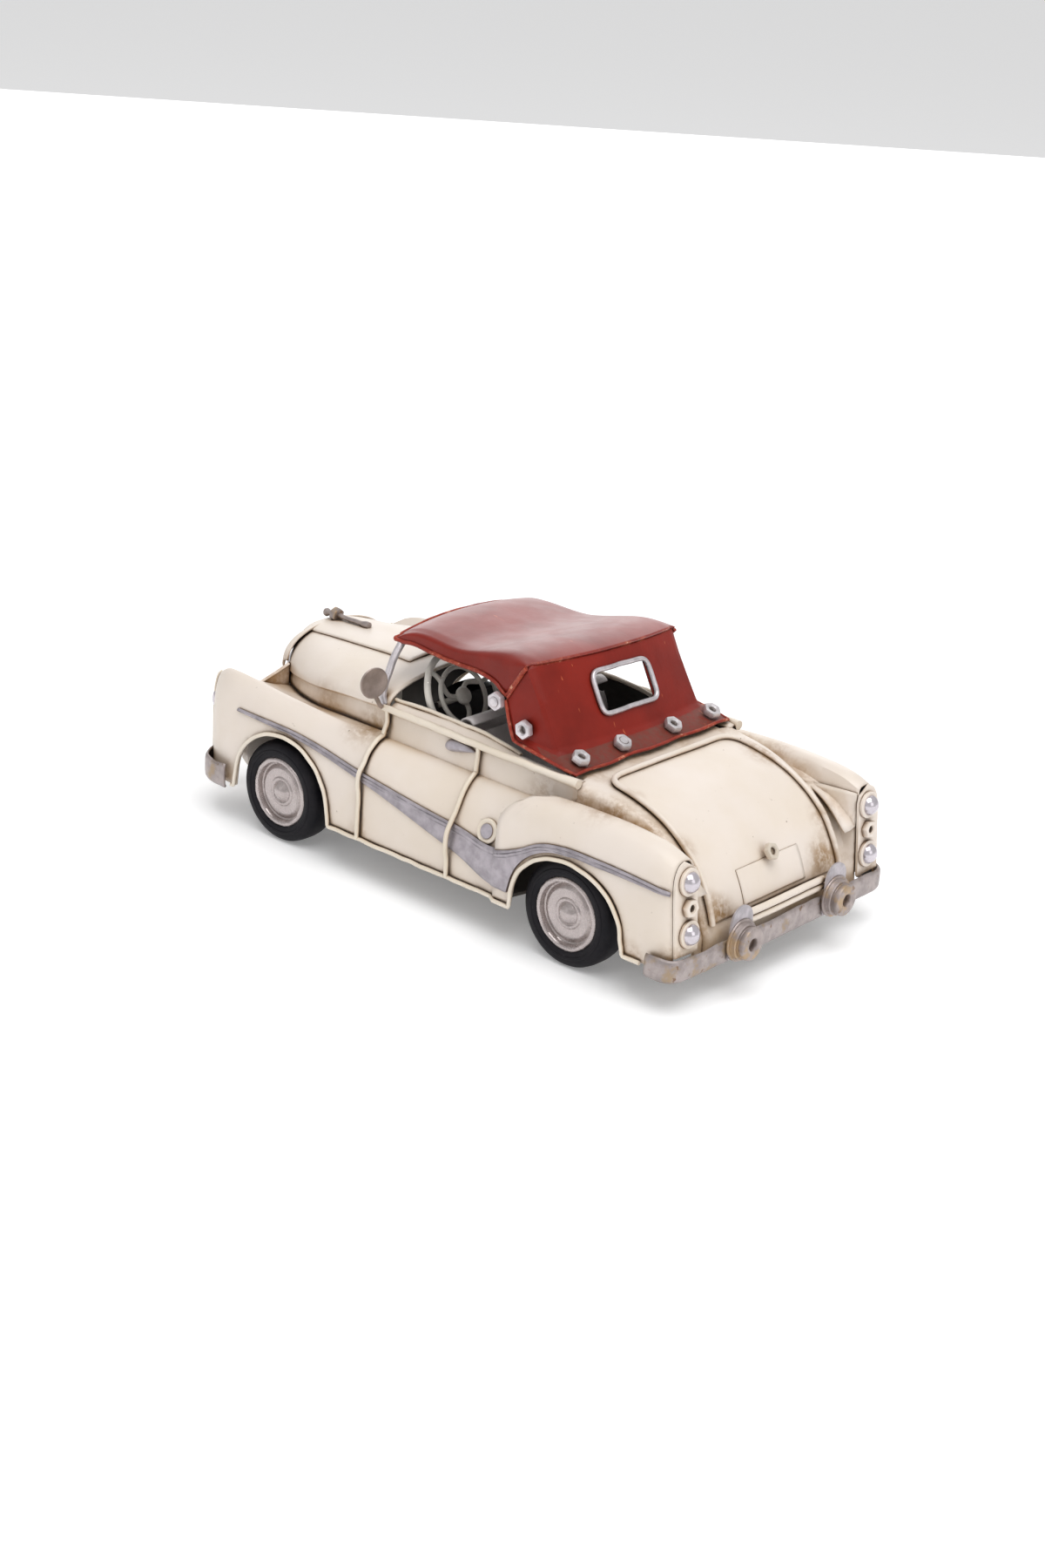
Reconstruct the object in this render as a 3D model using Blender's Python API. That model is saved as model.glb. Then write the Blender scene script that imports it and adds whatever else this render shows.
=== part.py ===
"""Friction tin car: a hand-made tinplate convertible with its soft top up.

Sizes are millimetres, and MM turns them into metres. X points to the car's front,
Y to its left and Z up. The tyres stand on z = 0, and the origin is under the middle.
"""

import math

import bmesh
import bpy
import numpy as np
from mathutils import Matrix, Vector

MM = 0.001
GAP = 0.3  # between pieces that touch
TIN = 0.6  # sheet thickness
BEAD_RADIUS = 0.6  # wire soldered along the edges

# Running gear
TYRE_RADIUS = 13.0
TYRE_WIDTH = 8.4
RIM_RADIUS = 8.5
WHEEL_FACE_Y = 38.2
WHEELBASE = 93.9
FRONT_AXLE_X = 48.5
REAR_AXLE_X = FRONT_AXLE_X - WHEELBASE
AXLE_Z = TYRE_RADIUS
AXLE_RADIUS = 1.5
SHAFT_RADIUS = 1.0

# Body
BODY_HALF_WIDTH = 38.2  # flank sheet
HIP_STEP = 2 * GAP + TIN  # rear fender sheet stands this far outside the flank
HIP_HALF_WIDTH = BODY_HALF_WIDTH + HIP_STEP
BELT_Y = 29.3
BELT_Z = 41.8
SILL_Z = 10.2
FRONT_DOOR_X = 20.0
REAR_DOOR_X = -9.5
FENDER_TIP_X = 78.0
HIP_FRONT_X = -24.6
TAIL_X = -76.6
TAIL_LEAN = 0.1  # the tail's top leans forward by this share of its height
BUMPER_X = 83.6
ARCH_CLEARANCE = 3.4
ARCH_OFFSET = -1.4
FRONT_ARCH = (FRONT_AXLE_X + ARCH_OFFSET, TYRE_RADIUS + ARCH_CLEARANCE, TYRE_RADIUS + 0.7 * ARCH_CLEARANCE)
REAR_ARCH = (REAR_AXLE_X + ARCH_OFFSET, TYRE_RADIUS + ARCH_CLEARANCE, TYRE_RADIUS + 0.2 * ARCH_CLEARANCE)

# Soft top
ROOF_Z = 62.2
ROOF_HALF_WIDTH = 27.3
ROOF_FRONT_X = 26.0
ROOF_FRONT_HALF_WIDTH = 22.2
ROOF_LENGTH = 45.8
NUT_FLATS = 4.0
NUT_HEIGHT = 1.6
NUT_HOLE = 1.0

# Friction motor
GEAR_MODULE = 0.7
AXLE_TEETH, PINION_TEETH, LAYSHAFT_TEETH = 16, 8, 16
MESH_SLACK = 0.1
GEAR_FACE = 2.6
FLYWHEEL_RADIUS = 8.5
FLYWHEEL_WIDTH = 4.5
MOTOR_HALF_WIDTH = 7.0
LAYSHAFT_ANGLE = math.radians(55)
FLYWHEEL_ANGLE = math.radians(10)

# Floor
FLOOR_Z = 10.4
FLOOR_THICKNESS = 0.8


# ---------------------------------------------------------------- helpers

def finish(name, color, roughness, metallic):
    """Principled material in one colour."""
    material = bpy.data.materials.new(name)
    material.use_nodes = True
    shader = material.node_tree.nodes["Principled BSDF"]
    shader.inputs["Base Color"].default_value = (*color, 1)
    shader.inputs["Roughness"].default_value = roughness
    shader.inputs["Metallic"].default_value = metallic
    material.diffuse_color = (*color, 1)
    return material


def smooth(x, knots):
    """Value at x on the cubic curve through the (x, value) knots."""
    xs, values = (np.array(column, float) for column in zip(*sorted(knots)))
    slopes = np.gradient(values, xs)
    x = min(max(x, xs[0]), xs[-1])
    i = min(int(np.searchsorted(xs, x, side="right")) - 1, len(xs) - 2)
    step = xs[i + 1] - xs[i]
    t = (x - xs[i]) / step
    rise = values[i + 1] - values[i]
    start, end = slopes[i] * step, slopes[i + 1] * step
    return float(values[i] + t * start + t * t * (3 * rise - 2 * start - end) + t**3 * (start + end - 2 * rise))


def mix(first, second, share):
    return tuple(a + (b - a) * share for a, b in zip(first, second))


def add_object(name, bm, material, sharp=40):
    mesh = bpy.data.meshes.new(name)
    bm.to_mesh(mesh)
    bm.free()
    mesh.materials.append(material)
    mesh.shade_smooth()
    mesh.set_sharp_from_angle(angle=math.radians(sharp))
    obj = bpy.data.objects.new(name, mesh)
    bpy.context.scene.collection.objects.link(obj)
    return obj


def sheet(name, rows, inside, material, skip=None, thickness=TIN):
    """Sheet metal through a grid of points, thickened on the side of the inside point."""
    bm = bmesh.new()
    grid = [[bm.verts.new(Vector(point) * MM) for point in row] for row in rows]
    for i in range(len(rows) - 1):
        for j in range(len(rows[0]) - 1):
            if not (skip and skip(i, j)):
                bm.faces.new((grid[i][j], grid[i + 1][j], grid[i + 1][j + 1], grid[i][j + 1]))
    bmesh.ops.delete(bm, geom=[v for v in bm.verts if not v.link_faces], context="VERTS")
    bm.normal_update()
    middle = Vector(inside) * MM
    facing = sum(f.normal.dot(f.calc_center_median() - middle) * f.calc_area() for f in bm.faces)
    if facing < 0:
        bmesh.ops.reverse_faces(bm, faces=bm.faces)
    obj = add_object(name, bm, material)
    solidify = obj.modifiers.new("Tin", "SOLIDIFY")
    solidify.thickness = thickness * MM
    solidify.offset = -1
    solidify.use_even_offset = True
    solidify.use_quality_normals = True
    return obj


def baked(obj, name=None):
    """Mesh object of what obj's modifiers or curve settings make."""
    bpy.context.view_layer.update()
    graph = bpy.context.evaluated_depsgraph_get()
    mesh = bpy.data.meshes.new_from_object(obj.evaluated_get(graph))
    bm = bmesh.new()
    bm.from_mesh(mesh)
    bm.transform(obj.matrix_world)
    bmesh.ops.remove_doubles(bm, verts=bm.verts, dist=1e-7)
    return add_object(name or obj.name, bm, obj.data.materials[0])


def mirrored(obj, name):
    """Copy of obj on the other side of the car."""
    twin = baked(obj, name)
    twin.data.transform(Matrix.Diagonal((1, -1, 1, 1)))
    twin.data.flip_normals()
    return twin


def drop(obj):
    bpy.data.objects.remove(obj)


def wire(name, points, radius, material, closed=False, detail=1):
    """Round wire along the points."""
    curve = bpy.data.curves.new(name, "CURVE")
    curve.dimensions = "3D"
    spline = curve.splines.new("POLY")
    spline.points.add(len(points) - 1)
    for knot, point in zip(spline.points, points):
        knot.co = (*(Vector(point) * MM), 1)
    spline.use_cyclic_u = closed
    curve.bevel_depth = radius * MM
    curve.bevel_resolution = detail
    curve.use_fill_caps = True
    curve.materials.append(material)
    obj = bpy.data.objects.new(name + "_curve", curve)
    bpy.context.scene.collection.objects.link(obj)
    solid = baked(obj, name)
    drop(obj)
    return solid


def aim(obj, at, direction):
    """Stands obj at a point with its local Z along the direction."""
    turn = Vector((0, 0, 1)).rotation_difference(Vector(direction))
    obj.location = Vector(at) * MM
    obj.rotation_euler = turn.to_euler()
    return obj


def lathe(name, profile, material, closed=False, segments=24):
    """Turned piece: the (radius, height) profile spun about local Z."""
    bm = bmesh.new()
    points = [bm.verts.new((r * MM, 0, h * MM)) for r, h in profile]
    ends = zip(points, points[1:] + points[:1]) if closed else zip(points, points[1:])
    edges = [bm.edges.new(pair) for pair in ends]
    bmesh.ops.spin(
        bm, geom=points + edges, axis=(0, 0, 1), cent=(0, 0, 0), steps=segments, angle=2 * math.pi
    )
    bmesh.ops.remove_doubles(bm, verts=bm.verts, dist=1e-7)
    bmesh.ops.recalc_face_normals(bm, faces=bm.faces)
    return add_object(name, bm, material)


def stack(name, rings, material):
    """Closed solid through (height, outline) rings with equal point counts, along local Z."""
    bm = bmesh.new()
    loops = [[bm.verts.new((x * MM, y * MM, height * MM)) for x, y in outline] for height, outline in rings]
    count = len(loops[0])
    for low, high in zip(loops, loops[1:]):
        for k in range(count):
            bm.faces.new((low[k], low[(k + 1) % count], high[(k + 1) % count], high[k]))
    bm.faces.new(loops[0][::-1])
    bm.faces.new(loops[-1])
    bmesh.ops.recalc_face_normals(bm, faces=bm.faces)
    return add_object(name, bm, material)


def circle(radius, count, phase=0.0):
    return [
        (radius * math.cos(phase + 2 * math.pi * k / count), radius * math.sin(phase + 2 * math.pi * k / count))
        for k in range(count)
    ]


def prism(name, outline, low, high, material):
    """Outline in X and Y raised from low to high."""
    return stack(name, [(low, outline), (high, outline)], material)


def box(name, low, high, material):
    bm = bmesh.new()
    size = Vector(high) - Vector(low)
    middle = (Vector(high) + Vector(low)) / 2
    bmesh.ops.create_cube(bm, size=1, matrix=Matrix.Translation(middle * MM) @ Matrix.Diagonal((*(size * MM), 1)))
    return add_object(name, bm, material)


def combine(obj, other, operation):
    """Boolean with another object, which then counts as a helper only."""
    modifier = obj.modifiers.new(other.name, "BOOLEAN")
    modifier.operation = operation
    modifier.object = other
    other.hide_render = True
    other.display_type = "WIRE"
    return obj


def drill(obj, name, at, direction, radius, depth, material):
    """Round hole of the given depth, centred on a point."""
    cutter = prism(name, circle(radius, 12), -depth / 2, depth / 2, material)
    aim(cutter, at, direction)
    combine(obj, cutter, "DIFFERENCE")


# ---------------------------------------------------------------- body lines

def arch_edge(x, arch):
    """Height of a wheel arch's edge above x, or the sill away from it."""
    middle, half_width, height = arch
    share = (x - middle) / half_width
    if abs(share) > 1:
        return SILL_Z
    return AXLE_Z + height * math.sqrt(1 - share * share)


def arch_stations(arch, count=10):
    middle, half_width, _ = arch
    turned = [middle - half_width * math.cos(math.pi * k / count) for k in range(count + 1)]
    return [middle - half_width - 0.8] + turned + [middle + half_width + 0.8]


def crease(x):
    """Fold between the belt panel and the flank's shoulder, as (y, z)."""
    return BELT_Y + smooth(x, [(-40, 0.3), (-9.5, 0.3), (20, 0.9)]), smooth(x, [(-40, 33.7), (-9.5, 33.7), (20, 34.4)])


def crown(x):
    """Highest line of the front fender, as (y, z)."""
    y = smooth(x, [(20, BELT_Y + 1.4), (40, 32.0), (60, 33.3), (70, 33.2), (78, 30.6)])
    z = smooth(x, [(20, 34.4), (35, 34.9), (50, 36.4), (62, 37.8), (69, 38.2), (74, 37.3), (78, 34.8)])
    return y, z


def fender_width(x):
    return BODY_HALF_WIDTH + smooth(x, [(20, 0), (62, 0), (69, -0.4), (73, -1.4), (76, -3.2), (78, -5.4)])


def shoulder(top, widest, power, count):
    """Rounded (y, z) points from the top line out to the widest line."""
    points = []
    for k in range(count + 1):
        angle = math.pi / 2 * k / count
        y = top[0] + (widest[0] - top[0]) * math.sin(angle) ** (2 / power)
        z = widest[1] + (top[1] - widest[1]) * math.cos(angle) ** (2 / power)
        points.append((y, z))
    return points


def flank(x, count=6):
    """Shoulder of the body side at x, as (y, z) points."""
    widest = (BODY_HALF_WIDTH, smooth(x, [(-40, 16), (-9.5, 16), (20, 20)]))
    return shoulder(crease(x), widest, smooth(x, [(-40, 1.6), (-9.5, 1.65), (20, 2.2)]), count)


def front_flank(x, count=6):
    widest = (fender_width(x), smooth(x, [(20, 20), (50, 24), (78, 24)]))
    return shoulder(crown(x), widest, smooth(x, [(20, 2.2), (60, 2.3), (78, 2.4)]), count)


def belt_z(x):
    """Height of the belt line, which falls a little to the rear."""
    return BELT_Z - 0.012 * (FRONT_DOOR_X - x)


def hip_top(x):
    return smooth(x, [(-24, 36.6), (-33, 37.4), (-45, 38.0), (-60, 37.8), (-70, 36.7), (-77, 35.0)])


def hip_width(x):
    return HIP_HALF_WIDTH + smooth(x, [(-77, -1.0), (-74, -0.2), (-68, 0), (-24, 0)])


def hip_flank(x, count=5):
    return shoulder((33.4, hip_top(x)), (hip_width(x), 27.0), 2.6, count)


def deck_half_width(x):
    return smooth(x, [(-77, BELT_Y - 3.3), (-70, BELT_Y - 2.7), (-60, BELT_Y - 1.7), (-50, BELT_Y - 0.7), (-39, BELT_Y)])


def with_lower_edge(points, bottom, count=2):
    """Carries a (y, z) shoulder straight down to its bottom edge, or cuts it there."""
    kept = [(y, max(z, bottom)) for y, z in points]
    last_y, last_z = kept[-1]
    return kept + [(last_y, last_z + (bottom - last_z) * (k + 1) / count) for k in range(count)]


def squeeze(points, bottom):
    """Fits a (y, z) shoulder between its own top and a raised bottom edge."""
    top, low = points[0][1], points[-1][1]
    if bottom <= low:
        return with_lower_edge(points, bottom)
    cut = []
    for k in range(len(points) + 2):
        z = top + (bottom - top) * k / (len(points) + 1)
        ys = np.interp(-z, [-p[1] for p in points], [p[0] for p in points])
        cut.append((float(ys), z))
    return cut


# ---------------------------------------------------------------- body sheets

def front_fender(material):
    stations = sorted([FRONT_DOOR_X + GAP / 2, 25.5] + arch_stations(FRONT_ARCH) + [66.2, 68, 71, 73.5, 75.5, 77, 78])
    rows = []
    for x in stations:
        inner = (hood_lines(x)[0] + GAP / 2 if x < 67 else 25.4, smooth(x, [(20, 33.9), (50, 33.8), (62, 33), (78, 31.4)]))
        y, z = crown(x)
        slope = (inner[0] + (y - inner[0]) * 0.6, inner[1] + (z - inner[1]) * 0.45)
        bottom = arch_edge(x, FRONT_ARCH)
        section = [inner, slope] + squeeze(front_flank(x), bottom)
        rows.append([(x, y, z) for y, z in section])
    return sheet("front_fender_left", rows, (50, 15, 15), material)


def body_side(material):
    """Door, quarter and belt panel in one sheet."""
    ends = (-39.3, -39.3, -39.3, -38.5, -36.0, -33.0, -30.5, -28.5, -28.0, -28.0, -28.0, -28.0)
    shares = (0, 0.25, 0.5, 0.67, 0.84, 1)
    rows = []
    for share in shares:
        row = []
        for k, end in enumerate(ends):
            x = (FRONT_DOOR_X - GAP / 2) * (1 - share) + end * share
            section = with_lower_edge(flank(x), SILL_Z)
            ledge = belt_z(x) + smooth(x, [(-26, -0.5), (-20, -0.3), (-12, 1.2), (20, 1.2)])
            upper = [(BELT_Y - 2.2, ledge), (BELT_Y, belt_z(x)), (BELT_Y, BELT_Z - 4)]
            row.append((x, *(upper + section)[k]))
        rows.append(row)
    return sheet("body_side_left", rows, (0, 10, 25), material)


def rear_fender(material):
    """Raised hip over the rear wheel, from its slanted front edge to the tail."""
    arch = arch_stations(REAR_ARCH)
    fronts = (-37.0, -37.0, -35.5, -33.6, -31.0, -28.6, -26.6, -25.2, -24.6, -24.6, -24.6)
    rows = []
    for x in [HIP_FRONT_X, -28.0] + arch[::-1] + [-68, -72.5, TAIL_X]:
        row = []
        for k, front in enumerate(fronts):
            at = TAIL_X + (x - TAIL_X) * (front - TAIL_X) / (HIP_FRONT_X - TAIL_X) if k < 8 else x
            valley = (deck_half_width(at) + 2 * GAP, smooth(at, [(-77, 25), (-70, 30), (-60, 33.4), (-37, 34.3)]))
            bottom = arch_edge(at, REAR_ARCH)
            section = squeeze(hip_flank(at), bottom)
            section = [valley, (BELT_Y + 1.2, valley[1]), (BELT_Y + 1.9, hip_top(at) - 0.9)] + section
            y, z = section[k]
            lean = TAIL_LEAN * (z - 14) * smooth(at, [(TAIL_X, 1), (-70, 0), (-24, 0)])
            row.append((at + lean, y, z))
        rows.append(row)
    return sheet("rear_fender_left", rows, (-50, 34.5, 15), material)


def hood_lines(x):
    """Hood's half width, its lower edge and its crest at x."""
    half = smooth(x, [(21, BELT_Y - 0.2), (36, 27.2), (50, 24.8), (60, 21.0), (66, 17.9), (70, 15.2), (73, 12.6), (76, 9.0)])
    edge = smooth(x, [(21, 41.0), (36, 39.4), (50, 37.6), (60, 36.4), (66, 36.2), (70, 36.5), (76, 37.0)])
    crest = smooth(x, [(21, 48.0), (34, 47.0), (47, 45.6), (60, 44.4), (68, 43.9), (73, 42.6), (76, 40.8)])
    return half, edge, crest


def hood(material):
    """Bonnet and cowl with the upright walls that stand in the fender valleys."""
    rows = []
    for x in (21.2, 28, 36, 44, 52, 60, 66, 70, 73, 76):
        half, edge, crest = hood_lines(x)
        floor = smooth(x, [(20, 34.2), (50, 34.1), (62, 34.0), (70, 35.1), (77, 35.2)])
        arc = [(p[0], p[1]) for p in shoulder((0, crest), (half, edge), 2.3, 7)]
        side = arc + [(half - 0.4, edge - 0.8), (half - 0.2, floor)]
        rows.append([(x, -y, z) for y, z in side[:0:-1]] + [(x, y, z) for y, z in side])
    return sheet("hood", rows, (50, 0, 20), material)


def hood_center_panel(material):
    """Raised centre strip of the bonnet, ending in a lip at the nose."""
    rows = []
    for x in (30, 40, 50, 60, 68, 72.5, 75.2):
        half, edge, crest = hood_lines(x)
        reach = smooth(x, [(30, 13.2), (50, 10.0), (68, 8.2), (75.2, 5.6)])
        row = []
        for share in (-1, -0.5, 0, 0.5, 1):
            y = reach * share
            sine = (abs(y) / half) ** 1.15
            drop_to = edge + (crest - edge) * (1 - sine * sine) ** (1 / 2.3)
            row.append((x, y, drop_to + GAP + TIN))
        rows.append(row)
    return sheet("hood_center_panel", rows, (50, 0, 20), material)


def front_panel(material):
    """Swept panel between the fender tips, folded forward beside the headlamps."""
    plan = [(0, 79.2, 33.6, 1.2), (9, 77.8, 33.6, 1.2), (16.5, 73.9, 34.2, 1.2), (19.5, 72.3, 34.6, 2.8),
            (24.2, 69.8, 33.6, 1.2), (24.8, 76.5, 31.0, 0.4)]
    rows = []
    for y, x, top, fold in [(-y, x, top, fold) for y, x, top, fold in plan[:0:-1]] + plan:
        rows.append([(x - fold, y, top - 0.3), (x - 0.3, y, top), (x, y, top - 1.6), (x, y, 22), (x - 0.4, y, 11)])
    return sheet("front_panel", rows, (40, 0, 20), material)


def grille(material):
    """Arched surround with upright bars, in front of the nose."""
    arch = [(0, 13.5 * math.cos(a), 21 + 17.5 * math.sin(a)) for a in np.linspace(0, math.pi, 13)]
    outline = [(81.0 - 0.1 * (z - 21), y, z) for _, y, z in arch]
    loop = outline + [(81.0, -13.5, 18), (81.0, 13.5, 18)]
    frame = wire("grille", loop, 0.8, material, closed=True)
    for k in range(-3, 4):
        y = 3.3 * k
        top = 21 + 17.5 * math.sqrt(1 - (y / 13.5) ** 2)
        bar = wire(f"grille_bar_{k + 3}", [(81, y, 18), (81, y, 21), (81 - 0.1 * (top - 21), y, top)], 0.45, material)
        combine(frame, bar, "UNION")
    return frame


DECK_PROFILE = [
    (-33.5, 41.0), (-38, 40.7), (-42, 40.0), (-50, 38.9), (-58, 36.6), (-64.5, 33.0), (-69.5, 28.6),
    (-72.6, 23.8), (-74.4, 19.9), (-75.4, 16.8),
]
VALANCE_PROFILE = [(-76.4, 15.6), (-76.8, 13.0), (-76.8, 9.6)]


def path_normals(path):
    """Outward (x, z) normal at each point of the deck's side view."""
    ways = [Vector(b) - Vector(a) for a, b in zip(path, path[1:])]
    ways = [ways[0]] + [a.normalized() + b.normalized() for a, b in zip(ways, ways[1:])] + [ways[-1]]
    return [Vector((way.y, -way.x)).normalized() for way in ways]


def rear_deck(material):
    """Deck from behind the soft top, under the boot lid and down to the ribbed valance."""
    path = DECK_PROFILE + VALANCE_PROFILE
    rows = []
    for (x, z), normal in zip(path, path_normals(DECK_PROFILE) + [Vector((-1, 0))] * 3):
        half = 26 if x > -38.5 else deck_half_width(min(x, -39.0))
        depth = smooth(x, [(-77, 3), (-60, 5), (-45, 6.4), (-33.5, 6.8)])
        side = [(0, 0), (12, 0), (22.5, 0), (half - 1.4, 0), (half - 0.3, 0.5), (half, 1.4), (half, depth)]
        points = [(x - normal.x * d, y, z - normal.y * d) for y, d in side]
        rows.append([(px, -py, pz) for px, py, pz in points[:0:-1]] + points)
    return sheet("rear_deck", rows, (-50, 0, 20), material)


def boot_lid(material):
    """Lid laid on the deck, its rim pressed up into a round bead."""
    path = DECK_PROFILE[2:]
    normals = path_normals(DECK_PROFILE)[2:]
    stations = [(mix(path[0], path[1], 0.02), normals[0], 0.0), (mix(path[0], path[1], 0.12), normals[0], 0.8),
                (mix(path[0], path[1], 0.26), normals[0], 0.0)]
    stations += [(point, normal, 0.0) for point, normal in zip(path[1:-1], normals[1:-1])]
    stations += [(mix(path[-2], path[-1], 0.9), normals[-1], 0.0)]
    rows = []
    for k, ((x, z), normal, rim) in enumerate(stations):
        half = smooth(x, [(-74.2, 24.2), (-58, 23.2), (-42, 22.2)]) - (1.6 if k == 0 else 0)
        side = [(0, rim), (11, rim), (half - 3, rim), (half - 1.9, rim), (half - 1.0, 0.8), (half, 0.0)]
        points = [(x + normal.x * (d + GAP + TIN), y, z + normal.y * (d + GAP + TIN)) for y, d in side]
        rows.append([(px, -py, pz) for px, py, pz in points[:0:-1]] + points)
    lid = sheet("boot_lid", rows, (-50, 0, 20), material)
    for z in (17.6, 19.1):
        lid_x = np.interp(z, [16.8, 19.9, 23.8], [-75.4, -74.4, -72.6]) - GAP - TIN
        combine(lid, wire(f"lid_rib_{z}", [(lid_x - 0.5, -15.5, z), (lid_x - 0.5, 15.5, z)], 0.7, material), "UNION")
    return lid


def soft_top_roof(material):
    """Roof sheet with its folded sides and a bowed front edge."""
    rows = []
    for share in (0, 0.08, 0.25, 0.42, 0.6, 0.76, 0.82, 0.91, 1):
        row = []
        half = smooth(share, [(0, ROOF_FRONT_HALF_WIDTH), (0.3, ROOF_HALF_WIDTH - 2.4), (0.57, ROOF_HALF_WIDTH - 0.9),
                              (0.8, ROOF_HALF_WIDTH), (1, ROOF_HALF_WIDTH)])
        side_x = ROOF_FRONT_X - ROOF_LENGTH * share
        top = smooth(share, [(0, ROOF_Z - 4.8), (0.25, ROOF_Z - 3.5), (0.6, ROOF_Z - 1.6), (1, ROOF_Z)])
        low = np.interp(side_x, [-19.8, -11.2, -7, 0, 8, 15, 22, ROOF_FRONT_X],
                        [ROOF_Z - 1.8, 53.6, 54.6, 55.4, 55.0, 54.6, 54.8, ROOF_Z - 5.8])
        for y, drop_share in ((half, 1), (half, 0.45), (half - 0.1, 0.18), (half - 0.9, 0.03), (half - 2.4, 0),
                              (half * 0.62, 0), (half * 0.31, 0), (0, 0)):
            bow = 1 - (y / half) ** 2
            x = side_x + (0.8 - 4.0 * share) * bow
            crown_rise = (2.0 - 1.2 * share) * bow
            row.append((x, y, top + crown_rise + (low - top) * drop_share))
        rows.append([(px, -py, pz) for px, py, pz in row] + row[-2::-1])
    return sheet("soft_top_roof", rows, (0, 0, 40), material)


WINDOW_ROWS = (0.22, 0.74)
WINDOW_HALF_WIDTH = 10.2


def curtain_columns():
    """(top, bottom, skirt edge) points of the rear curtain, from its left wing to the middle."""
    tip, corner = (-11.8, 27.3, 52.3), (-19.9, 26.8, ROOF_Z - 2.1)
    wing_low, bend = (-21.6, 27.7, 44.8), (-29.0, 26.0, 44.6)
    columns = []
    for share in (0, 0.33, 0.7):
        edge = mix((-21.8, 28.4, 44.0), (-35.6, 28.5, 42.2), share)
        columns.append((mix(tip, corner, share), mix(wing_low, bend, share), edge))
    columns.append((corner, bend, (-37.6, 28.2, 41.9)))
    for y, low_x in ((24.0, -30.2), (17, -31.2), (WINDOW_HALF_WIDTH, -31.8), (0, -32.1)):
        bow = 1 - (y / ROOF_HALF_WIDTH) ** 2
        columns.append(((-19.2 - 3.2 * bow, y, ROOF_Z + 0.8 * bow - TIN - GAP - 0.1), (low_x, y, 45), (-37.8, y, 42.2)))
    return columns


def rear_curtain(material):
    """Curtain with its side wings, window opening and the skirt lying on the deck."""
    left = []
    for top, low, edge in curtain_columns():
        shares = (0, WINDOW_ROWS[0], 0.48, WINDOW_ROWS[1], 0.9)
        column = [mix(top, low, share) for share in shares]
        column += [mix(mix(top, low, 1), edge, share) for share in (0.08, 0.5, 1)]
        left.append(column)
    right = [[(x, -y, z) for x, y, z in column] for column in left[:-1]]
    columns = left + right[::-1]
    middle = len(left) - 1
    def in_window(i, j):
        return i in (middle - 1, middle) and j in (1, 2)
    return sheet("rear_curtain", columns, (0, 0, 50), material, skip=in_window)


def window_corner(y_sign, row):
    top, low, _ = curtain_columns()[-2]
    x, y, z = mix(top, low, row)
    return (x, y * y_sign, z)


def rear_window_frame(material):
    """Wire loop round the rear window, with rounded corners."""
    up, down = WINDOW_ROWS
    corners = [window_corner(1, up), window_corner(-1, up), window_corner(-1, down), window_corner(1, down)]
    lean = Vector(window_corner(1, up)) - Vector(window_corner(1, down))
    way_out = Vector((-lean.z, 0, lean.x)).normalized() * (GAP + 0.65)
    points = []
    for k, corner in enumerate(corners):
        before, after = Vector(corners[k - 1]), Vector(corners[(k + 1) % 4])
        corner = Vector(corner)
        start = corner + (before - corner).normalized() * 2.2
        end = corner + (after - corner).normalized() * 2.2
        for t in (0, 0.33, 0.67, 1):
            points.append(start * (1 - t) ** 2 + corner * 2 * t * (1 - t) + end * t * t + way_out)
    return wire("rear_window_frame", points, 0.65, material, closed=True)


def nut(name, at, direction, material, flats=NUT_FLATS):
    """Hexagon nut with a plain hole."""
    corner = flats / math.sqrt(3)
    outline = []
    for k in range(6):
        a, b = (Vector((math.cos(t), math.sin(t))) * corner for t in (math.pi / 3 * k, math.pi / 3 * (k + 1)))
        outline += [tuple(a), tuple((a + b) / 2)]
    bm = bmesh.new()
    hole = circle(NUT_HOLE, 12)
    loops = [[bm.verts.new((x * MM, y * MM, z * MM)) for x, y in ring]
             for ring, z in ((outline, 0), (outline, NUT_HEIGHT), (hole, NUT_HEIGHT), (hole, 0))]
    for k, low in enumerate(loops):
        high = loops[(k + 1) % 4]
        for i in range(12):
            bm.faces.new((low[i], low[(i + 1) % 12], high[(i + 1) % 12], high[i]))
    bmesh.ops.recalc_face_normals(bm, faces=bm.faces)
    return aim(add_object(name, bm, material), at, direction)


def soft_top_nuts(material):
    """Nuts that hold the soft top: four on the skirt and two on each side."""
    out = ROOF_HALF_WIDTH + 2 * GAP
    slope = Vector((-0.45, 0, 0.89))
    for k, y in enumerate((24.1, 9.4, -9.4, -24.1)):
        foot = Vector((-35.0, y, 43.6)) + slope * (GAP + 0.1)
        nut(f"skirt_nut_{k + 1}", foot, slope, material)
    for side, word in ((1, "left"), (-1, "right")):
        nut(f"side_nut_front_{word}", (-13.6, side * (out - 0.2), 52.6), (0, side, 0), material)
        nut(f"side_nut_rear_{word}", (-21.6, side * out, 48.0), (0, side, 0), material)


# ---------------------------------------------------------------- trim

def surface_y(x, z):
    """Y of the outside sheet at x and z, for pieces that lie on the flank."""
    if x < HIP_FRONT_X + 0.7:
        points = squeeze(hip_flank(x), SILL_Z)
    elif x <= FRONT_DOOR_X:
        points = with_lower_edge(flank(x), SILL_Z)
    else:
        points = squeeze(front_flank(x), SILL_Z)
    return float(np.interp(-z, [-p[1] for p in points], [p[0] for p in points]))


def over_arch(x, arch):
    """Lowest height at x that clears an arch's bead."""
    middle, half_width, height = arch
    margin = BEAD_RADIUS + 2 * GAP + 0.2
    share = (x - middle) / (half_width + margin)
    return AXLE_Z + (height + margin) * math.sqrt(1 - share * share) if abs(share) < 1 else 0


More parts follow.
